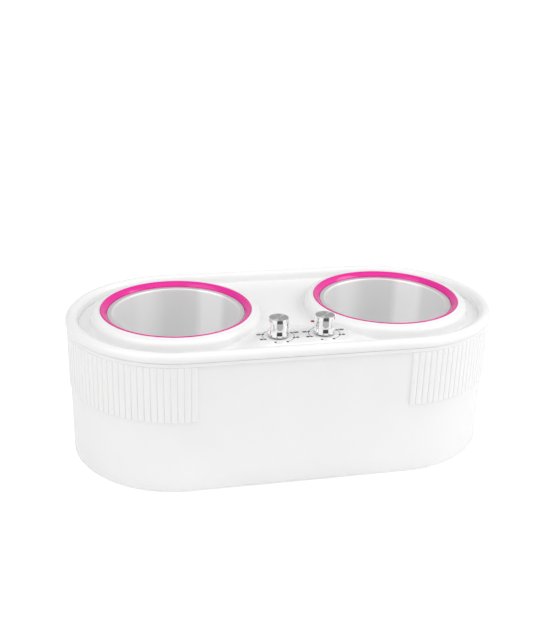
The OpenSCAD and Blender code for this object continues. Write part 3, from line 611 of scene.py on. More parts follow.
def rim_form(sz, s):
    """Underside of the rim: from the deck round the hollow bead and out to its widest line."""
    hollow = s.bead - s.wall
    dip = math.degrees(math.asin(s.seam_drop / s.bead))
    meet = math.degrees(math.acos((s.bead - EDGE_SKIM) / s.bead))
    section = [(sz.bead_in, sz.deck_under), (sz.bead_c - s.wall, sz.deck_under)]
    section += [(sz.bead_c - hollow, sz.seam)]
    section += arc_points(sz.bead_c, sz.bead_z, hollow, 180, 0, 16)
    section += [(sz.bead_c + hollow, sz.seam)]
    section += arc_points(sz.bead_c, sz.bead_z, s.bead, -dip, meet, 8)
    places = stadium_places(sz.run, END_STEPS, 4)
    verts = [(*at(place, r), z) for place in places for r, z in section]
    return verts, grid_faces(len(places), len(section), False)


def neck_form(form, side):
    """Neck that hangs round a well and seats its ring."""
    sz = form.sz
    neck_in, neck_out = sz.ring_out - 1.8 * MM, sz.ring_out + 0.6 * MM
    seat_z, neck_low = sz.lip - 3.4 * MM, sz.lip - 22 * MM
    profile = [(sz.seat, form.height(sz.run, sz.seat)), (sz.seat, seat_z), (neck_in, seat_z),
               (neck_in, neck_low), (neck_out, neck_low), (neck_out, sz.deck_under)]
    return turned_form(profile, WELL_STEPS, (side * sz.run, 0))


def set_normals(mesh, form, plan):
    """Takes the shading of the upper face and of its underside from the height function."""
    upper = [tuple(form.normal(x, y)) for x, y in plan]
    known = upper + [tuple(-c for c in n) for n in upper]
    from_faces = (0.0, 0.0, 0.0)
    mesh.normals_split_custom_set([known[v] if v < len(known) else from_faces
                                   for polygon in mesh.polygons for v in polygon.vertices])


class WARMER_OT_cover(bpy.types.Operator):
    """Builds the top cover: rim, sunken deck, two collars and the control panel"""

    bl_idname = "warmer.cover"
    bl_label = "Top cover"

    def execute(self, context):
        s, sz = settings(), sizes()
        form = CoverForm(sz, s)
        holes = [(side * sz.knob_x, sz.knob_y, 3.7 * MM) for side, name in SIDES]
        holes.append((*turned("indicator_lens")[0], 1.6 * MM))
        plan, faces = cover_plan(form, holes)
        top = [(x, y, form.height(x, y)) for x, y in plan]
        under = [(x, y, z - s.wall) for x, y, z in top]
        under_faces = [face[::-1] for face in faces
                       if max(form.rim_distance(*plan[v]) for v in face) < sz.bead_in + 1 * MM]
        parts = [(top, faces), (under, under_faces), rim_form(sz, s)]
        parts += [neck_form(form, side) for side, name in SIDES]
        obj = make_object("cover", *join_parts(parts), sharp=40)
        set_normals(obj.data, form, plan)
        settle(obj, "housing", "white_gloss", "top_cover")
        return {"FINISHED"}


# Rings, pots, knobs, lens and feet: turned forms

# Turn of the knobs' pointers from straight forward, as in the photograph
POINTER = math.radians(-22.5)


def ring_profile(sz, in_r, shelf, foot):
    """Section of a ring: round lip, dished face, shelf for the well's flange, and skirt."""
    lip, out_r = sz.lip, sz.ring_out
    seat_z, skirt_out, skirt_in = lip - 3.4 * MM, in_r + 3.7 * MM, in_r + 1.4 * MM
    face_out, face_drop, bulge, face_steps = out_r - 0.8 * MM, 3.7 * MM, 0.7 * MM, 14
    shelf_in, shelf_low = in_r - 1 * MM, shelf - 1.8 * MM
    profile = [(skirt_out, seat_z), (out_r, seat_z)]
    profile += arc_points(out_r - 0.55 * MM, lip - 0.5 * MM, 0.5 * MM, 0, 90, 6)
    for t in [k / face_steps for k in range(face_steps + 1)]:
        z = lip - face_drop * t + bulge * math.sin(math.pi * t)
        profile.append((face_out - (face_out - in_r) * t, z))
    return profile + [(in_r, lip - 4.2 * MM), (in_r, shelf), (shelf_in, shelf), (shelf_in, shelf_low),
                      (skirt_in, shelf_low), (skirt_in, foot), (skirt_out, foot)]


class WARMER_OT_rings(bpy.types.Operator):
    """Builds the two coloured rings"""

    bl_idname = "warmer.rings"
    bl_label = "Rings"

    def execute(self, context):
        sz = sizes()
        for side, name in SIDES:
            node_name = "accent_ring_%s" % name
            centre, flange_r, pot_foot, pot_top = turned("wax_pot_%s" % name)
            profile = ring_profile(sz, flange_r + 0.4 * MM, pot_top - 4 * MM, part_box(node_name)[0][2])
            obj = revolve("ring_%s" % name, profile, 180, True, 40, (side * sz.run, 0))
            settle(obj, "housing", "pink_gloss", node_name)
        return {"FINISHED"}


def pot_outline(flange_r, foot, top):
    """Half outline of a pot: up the outside, over the flange and down the inside."""
    wall, taper, corner, lip_r = 1.2 * MM, 2.5 * MM, 6 * MM, 2.2 * MM
    mouth, seat = flange_r - 4.8 * MM, top - 1.1 * MM
    foot_r = mouth - taper
    return [
        (0, foot, 0), (foot_r + wall, foot, corner + wall), (mouth + wall, seat - 2 * MM, 0),
        (mouth + wall, seat, 0.4 * MM), (flange_r, seat, 0.15 * MM), (flange_r, top, 0.3 * MM),
        (mouth, top, lip_r), (mouth, top - 6 * MM, 0),
        (foot_r, foot + wall, corner), (0, foot + wall, 0),
    ]


class WARMER_OT_pots(bpy.types.Operator):
    """Builds the two lift-out pots"""

    bl_idname = "warmer.pots"
    bl_label = "Wax pots"

    def execute(self, context):
        sz = sizes()
        for side, name in SIDES:
            node_name = "wax_pot_%s" % name
            centre, flange_r, foot, top = turned(node_name)
            path = rounded(pot_outline(flange_r, foot, top), 8)
            obj = revolve("pot_%s" % name, path, 180, False, 40, (side * sz.run, 0))
            settle(obj, "pot_%s" % name, "pot_aluminium", node_name)
            # The flange takes the darker copy of the aluminium: painted shade
            obj.data.materials.append(shared("Flange aluminium", shaded_flange_metal))
            for polygon in obj.data.polygons:
                if polygon.center.z > top - 0.35 * MM:
                    polygon.material_index = 1
        return {"FINISHED"}


def knob_outline(r, foot, top, shade_core_r, disc):
    """Half outline of a knob: foot, flare, waist, head and the recess for the disc."""
    waist, head, recess = r - 0.9 * MM, r - 0.25 * MM, top - 0.75 * MM
    return [
        (shade_core_r, foot + 2 * MM, 0), (shade_core_r, foot, 0.2 * MM), (r - 0.4 * MM, foot, 0.3 * MM),
        (r, foot + 0.6 * MM, 0.3 * MM), (r, foot + 2.2 * MM, 0.3 * MM), (waist, foot + 5.2 * MM, 1.2 * MM),
        (waist, foot + 5.9 * MM, 0.3 * MM), (head, foot + 6.4 * MM, 0.3 * MM),
        (head, top - 3 * MM, 1.5 * MM), (head - 0.35 * MM, top - 0.5 * MM, 0.3 * MM),
        (r - 0.8 * MM, top, 0.2 * MM), (disc + 0.05 * MM, top - 0.1 * MM, 0),
        (disc + 0.05 * MM, recess, 0), (0, recess, 0),
    ]


def build_knob(name):
    """One knob, with a dark core at its foot that paints the shade of the gap under the knob, its disc and
    the pointer's dot.
    """
    body = "knob_%s" % name
    centre, r, foot, top = turned(body)
    shade_core_r, disc = r - 1.3 * MM, r - 0.95 * MM
    knob = revolve(body, rounded(knob_outline(r, foot, top, shade_core_r, disc), 6), 128, False, 50, centre)
    settle(knob, body, "knob_chrome", body)

    # Painted shade: a black ring at the knob's foot, where there is only the shadow of the gap under the knob
    bore, shade_core_low, shade_core_top = 3.6 * MM, foot - 0.5 * MM, foot + 2 * MM
    section = [(bore, shade_core_top), (bore, shade_core_low), (shade_core_r, shade_core_low), (shade_core_r, shade_core_top)]
    settle(revolve("core_%s" % name, section, 64, centre=centre), body, "black_plastic")

    cap_node = "knob_cap_%s" % name
    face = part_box(cap_node)[1][2]
    outline = [(disc, face - 0.6 * MM, 0), (disc, face, 0.15 * MM), (disc - 0.9 * MM, face, 0.1 * MM),
               (disc - 1.1 * MM, face - 0.12 * MM, 0.1 * MM), (0, face - 0.12 * MM, 0)]
    cap = revolve("cap_%s" % name, rounded(outline, 4), 96, False, 40, centre)
    settle(cap, body, "cap_aluminium", cap_node)

    dot_r, proud, reach = 0.75 * MM, 0.05 * MM, disc - 1.9 * MM
    dot = [(dot_r, face - 0.15 * MM), (dot_r, face + 0.02 * MM), (0.55 * MM, face + proud), (0, face + proud)]
    place = (centre[0] + reach * math.sin(POINTER), centre[1] - reach * math.cos(POINTER))
    settle(revolve("pointer_%s" % name, dot, 24, centre=place), body, "cap_aluminium",
           look=shared("Pointer paint", pointer_paint))


class WARMER_OT_knobs(bpy.types.Operator):
    """Builds the two chrome knobs with their brushed discs"""

    bl_idname = "warmer.knobs"
    bl_label = "Knobs"

    def execute(self, context):
        for side, name in SIDES:
            build_knob(name)
        return {"FINISHED"}


class WARMER_OT_lens(bpy.types.Operator):
    """Builds the red indicator lens"""

    bl_idname = "warmer.lens"
    bl_label = "Indicator lens"

    def execute(self, context):
        centre, r, foot, top = turned("indicator_lens")
        stem, brim, dome = r - 0.3 * MM, top - 1 * MM, 0.9 * MM
        path = rounded([(0, foot, 0), (stem, foot, 0.1 * MM), (stem, brim, 0), (r, brim, 0)], 3)
        for turn in [math.pi / 2 * k / 10 for k in range(10)]:
            path.append((r * math.cos(turn), top - dome + dome * math.sin(turn)))
        path.append((0, top))
        settle(revolve("lens", path, 48, centre=centre), "housing", "red_lens", "indicator_lens")
        return {"FINISHED"}


class WARMER_OT_feet(bpy.types.Operator):
    """Builds the four rubber feet"""

    bl_idname = "warmer.feet"
    bl_label = "Rubber feet"

    def execute(self, context):
        low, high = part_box("rubber_feet")
        radius, stem_r, dimple_r, dimple = 9 * MM, 3 * MM, 4 * MM, 0.6 * MM
        top, stem_top = low[2] + 3 * MM, high[2]
        outline = [(0, dimple, 0), (dimple_r, dimple, 0.2 * MM), (dimple_r + 0.4 * MM, 0, 0.2 * MM),
                   (radius - 0.6 * MM, 0, 0.5 * MM), (radius, 1.2 * MM, 0.6 * MM), (radius, top, 0.3 * MM),
                   (stem_r, top, 0), (stem_r, stem_top, 0.4 * MM), (0, stem_top, 0)]
        path = rounded(outline, 4)
        x, y = high[0] - radius, high[1] - radius
        feet = [turned_form(path, 48, (i * x, j * y)) for i in (-1, 1) for j in (-1, 1)]
        settle(make_object("feet", *join_parts(feet)), "housing", "dark_rubber", "rubber_feet")
        return {"FINISHED"}


# Printed marks round the knobs

MARK_ANGLES = (112.5, 157.5, 202.5, 247.5, 292.5, 337.5, 382.5)
ARCS = ((112.5, 210), (286, 382.5))
LABELS = {157.5: "100", 202.5: "80", 337.5: "40", 382.5: "OFF"}
LABEL_WIDTH = 0.72
LABEL_SIZE = 3.6 * MM
LABEL_GAP = 1.7 * MM
LINE_W = 0.42 * MM
DOT_R = 1.2 * MM
TICK_TURN = 1.6
INK_SINK = 0.01 * MM
INK_THICK = 0.06 * MM


def flat_arc(centre, radius, width, start, end, z):
    """Thin raised arc: radius to its middle, angles in degrees."""
    steps = max(int(abs(end - start) / 4), 2)
    inner, outer, top = radius - width / 2, radius + width / 2, z + INK_THICK
    section = ((inner, z), (inner, top), (outer, top), (outer, z))
    turns = [math.radians(start + (end - start) * k / steps) for k in range(steps + 1)]
    verts = [(centre[0] + r * math.cos(turn), centre[1] + r * math.sin(turn), h)
             for turn in turns for r, h in section]
    faces = [(b + i, b + (i + 1) % 4, b + 4 + (i + 1) % 4, b + 4 + i)
             for b in range(0, 4 * steps, 4) for i in range(4)]
    return verts, faces + [(3, 2, 1, 0), tuple(4 * steps + i for i in range(4))]


def label_form(text, x, y, z, align):
    """Small raised lettering that lies flat and reads from the front."""
    curve = bpy.data.curves.new("label", "FONT")
    curve.body = text
    curve.size = LABEL_SIZE
    curve.align_x = align
    curve.align_y = "CENTER"
    curve.extrude = INK_THICK / 2
    curve.offset = 0.08 * LABEL_SIZE
    curve.resolution_u = 3
    holder = bpy.data.objects.new("label", curve)
    bpy.context.collection.objects.link(holder)
    mesh = holder.to_mesh()
    verts = [(v.co.x * LABEL_WIDTH + x, v.co.y + y, v.co.z + z + INK_THICK / 2) for v in mesh.vertices]
    faces = [tuple(p.vertices) for p in mesh.polygons]
    holder.to_mesh_clear()
    bpy.data.objects.remove(holder)
    bpy.data.curves.remove(curve)
    return verts, faces


def dial_marks(centre, radius, z):
    """Arcs, a tick, dots and words round one knob."""
    parts = [flat_arc(centre, radius, LINE_W, start, end, z) for start, end in ARCS]
    tick = MARK_ANGLES[0]
    parts.append(flat_arc(centre, radius + 0.6 * MM, 2.6 * MM, tick - TICK_TURN, tick + TICK_TURN, z))
    for angle in MARK_ANGLES[1:]:
        turn = math.radians(angle)
        x, y = centre[0] + radius * math.cos(turn), centre[1] + radius * math.sin(turn)
        parts.append(turned_form([(DOT_R, z), (DOT_R, z + INK_THICK), (0, z + INK_THICK)], 20, (x, y)))
        if angle in LABELS:
            out, align = (-1, "RIGHT") if math.cos(turn) < 0 else (1, "LEFT")
            parts.append(label_form(LABELS[angle], x + out * LABEL_GAP, y, z, align))
    return parts


class WARMER_OT_dial(bpy.types.Operator):
    """Prints the dots, arcs and numbers round the knobs"""

    bl_idname = "warmer.dial"
    bl_label = "Dial marks"

    def execute(self, context):
        s, sz = settings(), sizes()
        parts = []
        for side, name in SIDES:
            parts += dial_marks((side * sz.knob_x, sz.knob_y), s.dial_radius, sz.panel - INK_SINK)
        obj = make_object("dial_marks", *join_parts(parts), sharp=20)
        settle(obj, "housing", "white_gloss", look=shared("Dial ink", print_ink))
        return {"FINISHED"}


# Shader node groups

# Nearest that anything is taken to be to the Z axis, where a direction is worked out
NEAR_AXIS = 0.0001
# Painted sheen: streaks of highlight set into the colour of turned metal: direction in degrees, tightness and
# weight
PAINTED_SHEEN_LOBES = ((47, 24, 1.0), (112, 10, 0.5))


def group(name, place, numbers, outputs):
    """New shader node group: a vector socket, number sockets with defaults, and number outputs."""
    tree = bpy.data.node_groups.new(name, "ShaderNodeTree")
    tree.interface.new_socket(place, in_out="INPUT", socket_type="NodeSocketVector")
    for label, value in numbers.items():
        socket = tree.interface.new_socket(label, in_out="INPUT", socket_type="NodeSocketFloat")
        socket.default_value = value
    for label in outputs:
        tree.interface.new_socket(label, in_out="OUTPUT", socket_type="NodeSocketFloat")
    return tree, tree.nodes.new("NodeGroupInput").outputs, tree.nodes.new("NodeGroupOutput").inputs


def feed(tree, inputs, values):
    """Gives sockets their numbers, colours or links; None leaves a socket as it is."""
    for key, value in values.items():
        if isinstance(value, bpy.types.NodeSocket):
            tree.links.new(value, inputs[key])
        elif value is not None:
            inputs[key].default_value = value


def node(tree, kind, values, **options):
    """Outputs of a new node with those values at its inputs."""
    new = tree.nodes.new(kind)
    for key, option in options.items():
        setattr(new, key, option)
    feed(tree, new.inputs, values)
    return new.outputs


def calc(tree, operation, *values):
    """Works the operation through sockets and numbers from left to right."""
    result = values[0]
    for value in values[1:] or (None,):
        result = node(tree, "ShaderNodeMath", {0: result, 1: value}, operation=operation)[0]
    return result


def split(tree, vector):
    """x, y and z of a vector and its distance from the Z axis."""
    x, y, z = node(tree, "ShaderNodeSeparateXYZ", {0: vector})
    square = calc(tree, "ADD", calc(tree, "MULTIPLY", x, x), calc(tree, "MULTIPLY", y, y))
    return x, y, z, calc(tree, "SQRT", square)


def ramp(tree, value, start, end, low=0.0, high=1.0, kind="LINEAR"):
    """The value from start to end, mapped to low and high."""
    values = {"Value": value, "From Min": start, "From Max": end, "To Min": low, "To Max": high}
    return node(tree, "ShaderNodeMapRange", values, interpolation_type=kind)["Result"]


def noise(tree, values, dimensions="3D"):
    return node(tree, "ShaderNodeTexNoise", values, noise_dimensions=dimensions)["Fac"]


def blend(tree, factor, low, high):
    """Mix of two colours, given as four numbers or as sockets."""
    values = {"Factor": factor, "A": low, "B": high}
    return node(tree, "ShaderNodeMix", values, data_type="RGBA")["Result"]


def shared(name, build, *values):
    """The material or node group of that name, which is built when it is first asked for."""
    found = bpy.data.materials.get(name) or bpy.data.node_groups.get(name)
    return found or build(name, *values)


def build_grain(name):
    """Fine moulded grain and slow mottling."""
    scales = {"Grain Scale": 1500.0, "Mottle Scale": 40.0}
    tree, given, out = group(name, "Vector", scales, ("Grain", "Mottle"))
    for label, detail in (("Grain", 2.0), ("Mottle", 4.0)):
        values = {"Vector": given["Vector"], "Scale": given[label + " Scale"], "Detail": detail}
        feed(tree, out, {label: noise(tree, values)})
    return tree


def build_spun(name):
    """Fine rings round the local Z axis, and painted sheen: soft streaks of highlight that run out from it.
    """
    tree, given, out = group(name, "Vector", {"Ring Scale": 3000.0}, ("Rings", "Painted Sheen"))
    x, y, z, radius = split(tree, given["Vector"])
    values = {"W": calc(tree, "ADD", radius, z), "Scale": given["Ring Scale"], "Detail": 3.0}
    safe = calc(tree, "MAXIMUM", radius, NEAR_AXIS)
    # Each lobe is a streak of painted highlight, set by direction round the axis
    painted_lobes = []
    for angle, tightness, weight in PAINTED_SHEEN_LOBES:
        turn = math.radians(angle)
        along_x = calc(tree, "MULTIPLY", x, math.cos(turn))
        along_y = calc(tree, "MULTIPLY", y, math.sin(turn))
        share = calc(tree, "ABSOLUTE", calc(tree, "DIVIDE", calc(tree, "ADD", along_x, along_y), safe))
        painted_lobes.append(calc(tree, "MULTIPLY", calc(tree, "POWER", share, tightness), weight))
    feed(tree, out, {"Rings": noise(tree, values, "1D"), "Painted Sheen": calc(tree, "ADD", *painted_lobes)})
    return tree


def build_marks(name):
    """Faint handling marks: a mask that is mostly low with a few soft patches."""
    tree, given, out = group(name, "Vector", {"Scale": 60.0}, ("Mask",))
    values = {"Vector": given["Vector"], "Scale": given["Scale"], "Detail": 6.0, "Distortion": 1.2}
    feed(tree, out, {"Mask": ramp(tree, noise(tree, values), 0.5, 0.75)})
    return tree


# Materials

class Look:
    """A material with a Principled shader, object coordinates and short ways to drive its sockets."""

    def __init__(self, name, base, metallic=0.0):
        self.material = bpy.data.materials.new(name)
        self.material.use_nodes = True
        self.tree = self.material.node_tree
        self.base = (*base, 1)
        self.coords = node(self.tree, "ShaderNodeTexCoord", {})["Object"]
        self.feed({"Base Color": self.base, "Metallic": metallic})

    def feed(self, values):
        feed(self.tree, self.tree.nodes["Principled BSDF"].inputs, values)

    def use(self, name, build, scales):
        """Outputs of a shared node group that is fed with object coordinates."""
        values = {"Vector": self.coords, **scales}
        return node(self.tree, "ShaderNodeGroup", values, node_tree=shared(name, build))

    def grain(self, fine, mottle):
        return self.use("Moulded grain", build_grain, {"Grain Scale": fine, "Mottle Scale": mottle})

    def spun(self, rings):
        return self.use("Spun metal", build_spun, {"Ring Scale": rings})

    def marks(self, scale):
        return self.use("Handling marks", build_marks, {"Scale": scale})

    def mapped(self, value, low, high):
        """The value, 0.3 to 0.7, mapped to low and high."""
        return ramp(self.tree, value, 0.3, 0.7, low, high)

    def roughness(self, value, low, high):
        self.feed({"Roughness": self.mapped(value, low, high)})

    def tint(self, value, other):
        """Mixes the base colour with another where the value is high."""
        mix = blend(self.tree, self.mapped(value, 0.0, 1.0), self.base, (*other, 1))
        self.feed({"Base Color": mix})

    def bump(self, value, strength, distance):
        values = {"Height": value, "Strength": strength, "Distance": distance}
        self.feed({"Normal": node(self.tree, "ShaderNodeBump", values)["Normal"]})


def scaled(base, factor):
    return tuple(min(c * factor, 1.0) for c in base)


def white_plastic(name):
    base = settings().plastic
    look = Look(name, base)
    look.feed({"Coat Weight": 0.25, "Coat Roughness": 0.08})
    grain = look.grain(900, 30)
    look.tint(grain["Mottle"], scaled(base, 0.985))
    look.roughness(grain["Mottle"], 0.2, 0.26)
    look.bump(grain["Grain"], 0.05, 0.05 * MM)
    return look.material


def ring_plastic(name):
    base = settings().ring
    look = Look(name, base)
    grain = look.grain(900, 60)
    look.tint(grain["Mottle"], scaled(base, 0.93))
    look.roughness(grain["Mottle"], 0.12, 0.18)
    look.bump(grain["Grain"], 0.04, 0.05 * MM)
    return look.material


def pot_metal(name):
    base = settings().pot
    look = Look(name, scaled(base, 0.87), metallic=0.25)
    spun = look.spun(1800)
    # Painted sheen: the colour is lighter along streaks of highlight and darker between them
    look.tint(spun["Painted Sheen"], scaled(base, 1.05))
    look.roughness(spun["Rings"], 0.38, 0.5)
    look.bump(look.grain(1400, 200)["Grain"], 0.5, 0.2 * MM)
    return look.material


# Darker copy of the pot's aluminium: painted shade on the flange round the pot's mouth, with the painted
# sheen streaks
def shaded_flange_metal(name):
    base = scaled(settings().pot, 0.72)
    look = Look(name, base, metallic=0.7)
    spun = look.spun(2600)
    look.tint(spun["Painted Sheen"], scaled(base, 1.15))
    look.roughness(spun["Rings"], 0.32, 0.42)
    return look.material


def chrome(name):
    look = Look(name, (0.9, 0.9, 0.905), metallic=1.0)
    look.roughness(look.marks(220)["Mask"], 0.05, 0.09)
    return look.material


def brushed_disc(name):
    look = Look(name, (0.46, 0.46, 0.465), metallic=1.0)
    spun = look.spun(5000)
    # Painted sheen: lighter sectors of highlight set into the disc's colour
    look.tint(spun["Painted Sheen"], (0.68, 0.68, 0.685))
    look.roughness(spun["Rings"], 0.3, 0.45)
    look.bump(spun["Rings"], 0.25, 0.03 * MM)
    return look.material


def pointer_paint(name):
    look = Look(name, (0.85, 0.85, 0.85))
    look.roughness(look.grain(3000, 600)["Grain"], 0.35, 0.5)
    return look.material


def lens_plastic(name):
    look = Look(name, (0.36, 0.008, 0.015))
    look.feed({"Coat Weight": 0.6})
    grain = look.grain(2500, 500)
    look.tint(grain["Mottle"], (0.28, 0.004, 0.01))
    look.roughness(grain["Grain"], 0.08, 0.16)
    return look.material


def print_ink(name):
    look = Look(name, (0.03, 0.03, 0.035))
    grain = look.grain(4000, 900)
    look.tint(grain["Grain"], (0.06, 0.06, 0.065))
    look.roughness(grain["Grain"], 0.4, 0.6)
    return look.material


def plain_plastic(name, base, roughness):
    look = Look(name, base)
    grain = look.grain(1600, 80)
    look.tint(grain["Mottle"], scaled(base, 0.93))
    look.roughness(grain["Mottle"], roughness - 0.05, roughness + 0.06)
    look.bump(grain["Grain"], 0.2, 0.06 * MM)
    return look.material


def soft_matte(name, base):
    look = Look(name, base)
    grain = look.grain(2200, 120)
    look.tint(grain["Mottle"], scaled(base, 1.5))
    look.roughness(grain["Grain"], 0.65, 0.85)
    look.bump(grain["Grain"], 0.4, 0.1 * MM)
    return look.material


def plain_metal(name, base, roughness):
    look = Look(name, base, metallic=1.0)
    grain = look.grain(2400, 150)
    look.tint(grain["Mottle"], scaled(base, 0.85))
    look.roughness(look.marks(180)["Mask"], roughness, roughness + 0.15)
    look.bump(grain["Grain"], 0.15, 0.04 * MM)
    return look.material


SLOT_LOOKS = {
    "white_gloss": ("White gloss plastic", white_plastic),
    "white_matte": ("Bottom plastic", plain_plastic, (0.72, 0.72, 0.71), 0.45),
    "dark_rubber": ("Dark rubber", soft_matte, (0.02, 0.02, 0.02)),
    "grey_rubber": ("Grey rubber", soft_matte, (0.16, 0.16, 0.165)),
    "pink_gloss": ("Pink gloss plastic", ring_plastic),
    "well_aluminium": ("Well aluminium", plain_metal, (0.66, 0.66, 0.67), 0.36),
    "pot_aluminium": ("Pot aluminium", pot_metal),
    "heater_aluminium": ("Cast aluminium", plain_metal, (0.42, 0.42, 0.43), 0.5),
    "insulation_felt": ("Insulation felt", soft_matte, (0.62, 0.57, 0.46)),
    "plain_steel": ("Zinc-plated steel", plain_metal, (0.55, 0.56, 0.58), 0.3),
    "white_ceramic": ("Ceramic", plain_plastic, (0.78, 0.78, 0.74), 0.4),
    "ivory_plastic": ("Ivory plastic", plain_plastic, (0.72, 0.68, 0.55), 0.42),
    "copper_tube": ("Copper", plain_metal, (0.72, 0.32, 0.16), 0.28),
    "knob_chrome": ("Knob chrome", chrome),
    "cap_aluminium": ("Brushed disc", brushed_disc),
    "red_lens": ("Lens red", lens_plastic),
    "green_board": ("Coated board", plain_plastic, (0.01, 0.09, 0.03), 0.35),
    "black_plastic": ("Black plastic", plain_plastic, (0.012, 0.012, 0.013), 0.4),
    "pin_brass": ("Brass", plain_metal, (0.72, 0.5, 0.2), 0.22),
    "brown_wire": ("Brown insulation", plain_plastic, (0.09, 0.03, 0.01), 0.4),
    "blue_wire": ("Blue insulation", plain_plastic, (0.01, 0.05, 0.35), 0.4),
    "green_wire": ("Green insulation", plain_plastic, (0.17, 0.32, 0.01), 0.4),
    "red_wire": ("Sleeved lead", plain_plastic, (0.3, 0.01, 0.01), 0.55),
}


def slot_look(slot):
    """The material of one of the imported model's slots."""
    return shared(*SLOT_LOOKS[slot])


class WARMER_OT_dress(bpy.types.Operator):
    """Gives every node that stays as packed its material"""

    bl_idname = "warmer.dress"
    bl_label = "Materials of the packed parts"

    def execute(self, context):
        slots = {part["node"]: part["material_slot"] for part in frame["record"]["subparts"]}
        for name, obj in frame["nodes"].items():
            obj.data.materials.clear()
            obj.data.materials.append(slot_look(slots[name]))
        return {"FINISHED"}


# Camera, lights, floor and surroundings

AZIMUTH = math.radians(-13.352)
ELEVATION = math.radians(22.593)
ROLL = math.radians(1.797)
TARGET = Vector((-0.00394, 0.00119, 0.1135))
DISTANCE = 0.89438
FOCAL_PX = 974.41
IMAGE = (556, 642)
FLOOR_HALF = 6.0
FLOOR_GLOW = 0.6
# Lamps: name, width and height, watts, place and what each points at
LAMPS = (
    ("Left box", (0.9, 1.2), 4, (-1.1, -0.3, 1.3), (0, 0, 0.08)),
    ("Right box", (0.8, 0.8), 6.5, (1.2, -0.35, 1.05), (0, 0, 0.08)),
    ("Top box", (1.8, 1.4), 4.5, (-0.1, -0.35, 1.85), (0, 0, 0.1)),
)
# How bright polished and matte surfaces see the surroundings, and how much darker some parts of them are
SKY_TONE = 1.0
SOFT_TONE = 0.89
SOFT_BACK_DEPTH = 0.8
GAP_DEPTH = 0.93
BACK_DEPTH = 0.3
CEILING_DEPTH = 0.4
FLOOR_DEPTH = 0.5
FAR_FLOOR_DEPTH = 0.4


def place_camera():
    data = bpy.data.cameras.new("Camera")
    data.sensor_fit = "VERTICAL"
    data.sensor_height = 36
    data.lens = FOCAL_PX * data.sensor_height / IMAGE[1]
    data.clip_start = 0.01
    data.clip_end = 50
    camera = bpy.data.objects.new("Camera", data)
    bpy.context.collection.objects.link(camera)
    aim = Matrix.Rotation(AZIMUTH, 4, "Z") @ Matrix.Rotation(math.pi / 2 - ELEVATION, 4, "X")
    aim = aim @ Matrix.Rotation(ROLL, 4, "Z")
    camera.matrix_world = Matrix.Translation(TARGET) @ aim @ Matrix.Translation((0, 0, DISTANCE))
    bpy.context.scene.camera = camera


def area_light(name, size, power, position, target):
    data = bpy.data.lights.new(name, "AREA")
    data.shape = "RECTANGLE"
    data.size, data.size_y = size
    data.energy = power
    lamp = bpy.data.objects.new(name, data)
    bpy.context.collection.objects.link(lamp)
    direction = Vector(target) - Vector(position)
    lamp.location = position
    lamp.rotation_euler = direction.to_track_quat("-Z", "Y").to_euler()


def build_surroundings(name):
    """Tones in each direction: Sky and Floor for polished surfaces, with a dark gap, and Soft for matte."""
    tree, given, out = group(name, "Direction", {}, ("Sky", "Floor", "Soft"))
    x, y, z, radius = split(tree, given["Direction"])
    flat = calc(tree, "MAXIMUM", radius, NEAR_AXIS)
    facing = calc(tree, "DIVIDE", calc(tree, "MULTIPLY", y, -1.0), flat)
    gap = ramp(tree, facing, 0.82, 0.9, kind="SMOOTHSTEP")
    behind = ramp(tree, calc(tree, "MULTIPLY", facing, -1.0), 0.1, 0.8, kind="SMOOTHSTEP")
    high = ramp(tree, z, 0.75, 0.95, kind="SMOOTHSTEP")
    low = calc(tree, "SUBTRACT", 1.0, high)
    dark = calc(tree, "MULTIPLY", gap, low, GAP_DEPTH)
    dim = calc(tree, "MULTIPLY", behind, low, BACK_DEPTH)
    ceiling = calc(tree, "MULTIPLY", high, CEILING_DEPTH)
    sky = calc(tree, "SUBTRACT", SKY_TONE, dark, dim, ceiling)
    far = ramp(tree, flat, 0.5, 0.8, kind="SMOOTHSTEP")
    depth = calc(tree, "ADD", calc(tree, "MULTIPLY", far, FAR_FLOOR_DEPTH), FLOOR_DEPTH)
    floor = calc(tree, "SUBTRACT", SKY_TONE, calc(tree, "MULTIPLY", gap, depth))
    shade = calc(tree, "MULTIPLY", behind, low, SOFT_BACK_DEPTH)
    feed(tree, out, {"Sky": sky, "Floor": floor, "Soft": calc(tree, "SUBTRACT", SOFT_TONE, shade)})
    return tree


def use_surroundings(tree, coordinate):
    values = {"Direction": node(tree, "ShaderNodeTexCoord", {})[coordinate]}
    return node(tree, "ShaderNodeGroup", values, node_tree=shared("Surroundings", build_surroundings))


def white_world():
    """White to the camera, soft light to matte surfaces, boxes and a dark gap to polished ones."""
    world = bpy.data.worlds.new("Studio")
    bpy.context.scene.world = world
    world.use_nodes = True
    tree = world.node_tree
    path = node(tree, "ShaderNodeLightPath", {})
    seen = use_surroundings(tree, "Generated")
    tones = blend(tree, path["Is Glossy Ray"], seen["Soft"], seen["Sky"])
    tones = blend(tree, path["Is Camera Ray"], tones, (1, 1, 1, 1))
    feed(tree, tree.nodes["Background"].inputs, {"Color": tones})


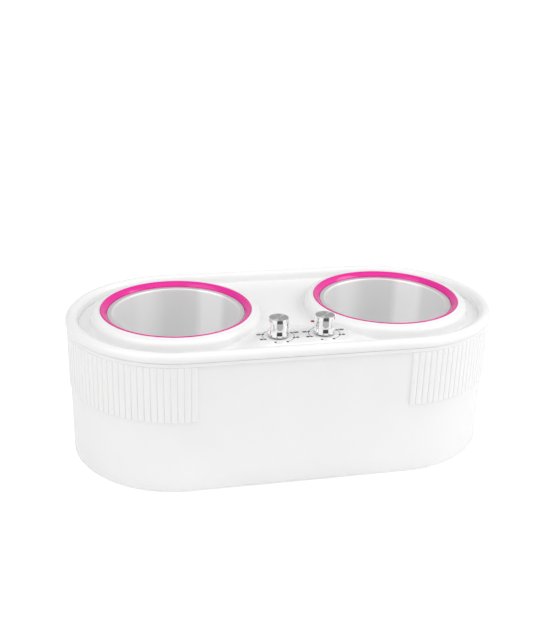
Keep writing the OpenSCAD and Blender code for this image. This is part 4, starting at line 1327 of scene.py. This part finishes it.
def floor_material():
    """Near-white floor that keeps the object's shadow; polished surfaces see plain tones there."""
    material = bpy.data.materials.new("Studio floor")
    material.use_nodes = True
    tree = material.node_tree
    shader = tree.nodes["Principled BSDF"]
    path = node(tree, "ShaderNodeLightPath", {})
    glow = calc(tree, "MULTIPLY", path["Is Camera Ray"], FLOOR_GLOW)
    feed(tree, shader.inputs, {"Base Color": (0.9, 0.9, 0.9, 1), "Roughness": 0.9,
                               "Emission Color": (1, 1, 1, 1), "Emission Strength": glow})
    plain = node(tree, "ShaderNodeEmission", {"Color": use_surroundings(tree, "Object")["Floor"]})
    mix = node(tree, "ShaderNodeMixShader", {0: path["Is Glossy Ray"], 1: shader.outputs[0], 2: plain[0]})
    feed(tree, tree.nodes["Material Output"].inputs, {"Surface": mix[0]})
    return material


class WARMER_OT_stage(bpy.types.Operator):
    """Sets up the floor, the lamps, the surroundings and the camera"""

    bl_idname = "warmer.stage"
    bl_label = "Studio"

    def execute(self, context):
        corners = [(i * FLOOR_HALF, j * FLOOR_HALF, 0) for i, j in ((-1, -1), (1, -1), (1, 1), (-1, 1))]
        floor = make_object("floor", corners, [(0, 1, 2, 3)])
        floor.data.materials.append(floor_material())
        for lamp in LAMPS:
            area_light(*lamp)
        white_world()
        place_camera()
        context.scene.view_settings.view_transform = "Standard"
        return {"FINISHED"}


PIECES = (WARMER_OT_dress, WARMER_OT_housing, WARMER_OT_cover, WARMER_OT_rings, WARMER_OT_pots,
          WARMER_OT_knobs, WARMER_OT_lens, WARMER_OT_feet, WARMER_OT_dial, WARMER_OT_stage)


class WARMER_PT_panel(bpy.types.Panel):
    """Lists the settings and the steps that build the wax warmer"""

    bl_idname = "WARMER_PT_panel"
    bl_label = "Wax warmer"
    bl_space_type = "VIEW_3D"
    bl_region_type = "UI"
    bl_category = "Wax warmer"

    def draw(self, context):
        column = self.layout.column(align=True)
        for key in WarmerSettings.__annotations__:
            column.prop(context.scene.warmer, key)
        steps = self.layout.column(align=True)
        for piece in PIECES:
            steps.operator(piece.bl_idname)


CLASSES = (WarmerSettings, *PIECES, WARMER_PT_panel)


def register():
    for cls in CLASSES:
        bpy.utils.register_class(cls)
    bpy.types.Scene.warmer = bpy.props.PointerProperty(type=WarmerSettings)


def unregister():
    del bpy.types.Scene.warmer
    for cls in reversed(CLASSES):
        bpy.utils.unregister_class(cls)


def main():
    register()
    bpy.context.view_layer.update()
    for piece in PIECES:
        group_name, step = piece.bl_idname.split(".")
        getattr(getattr(bpy.ops, group_name), step)()


if __name__ == "__main__":
    main()
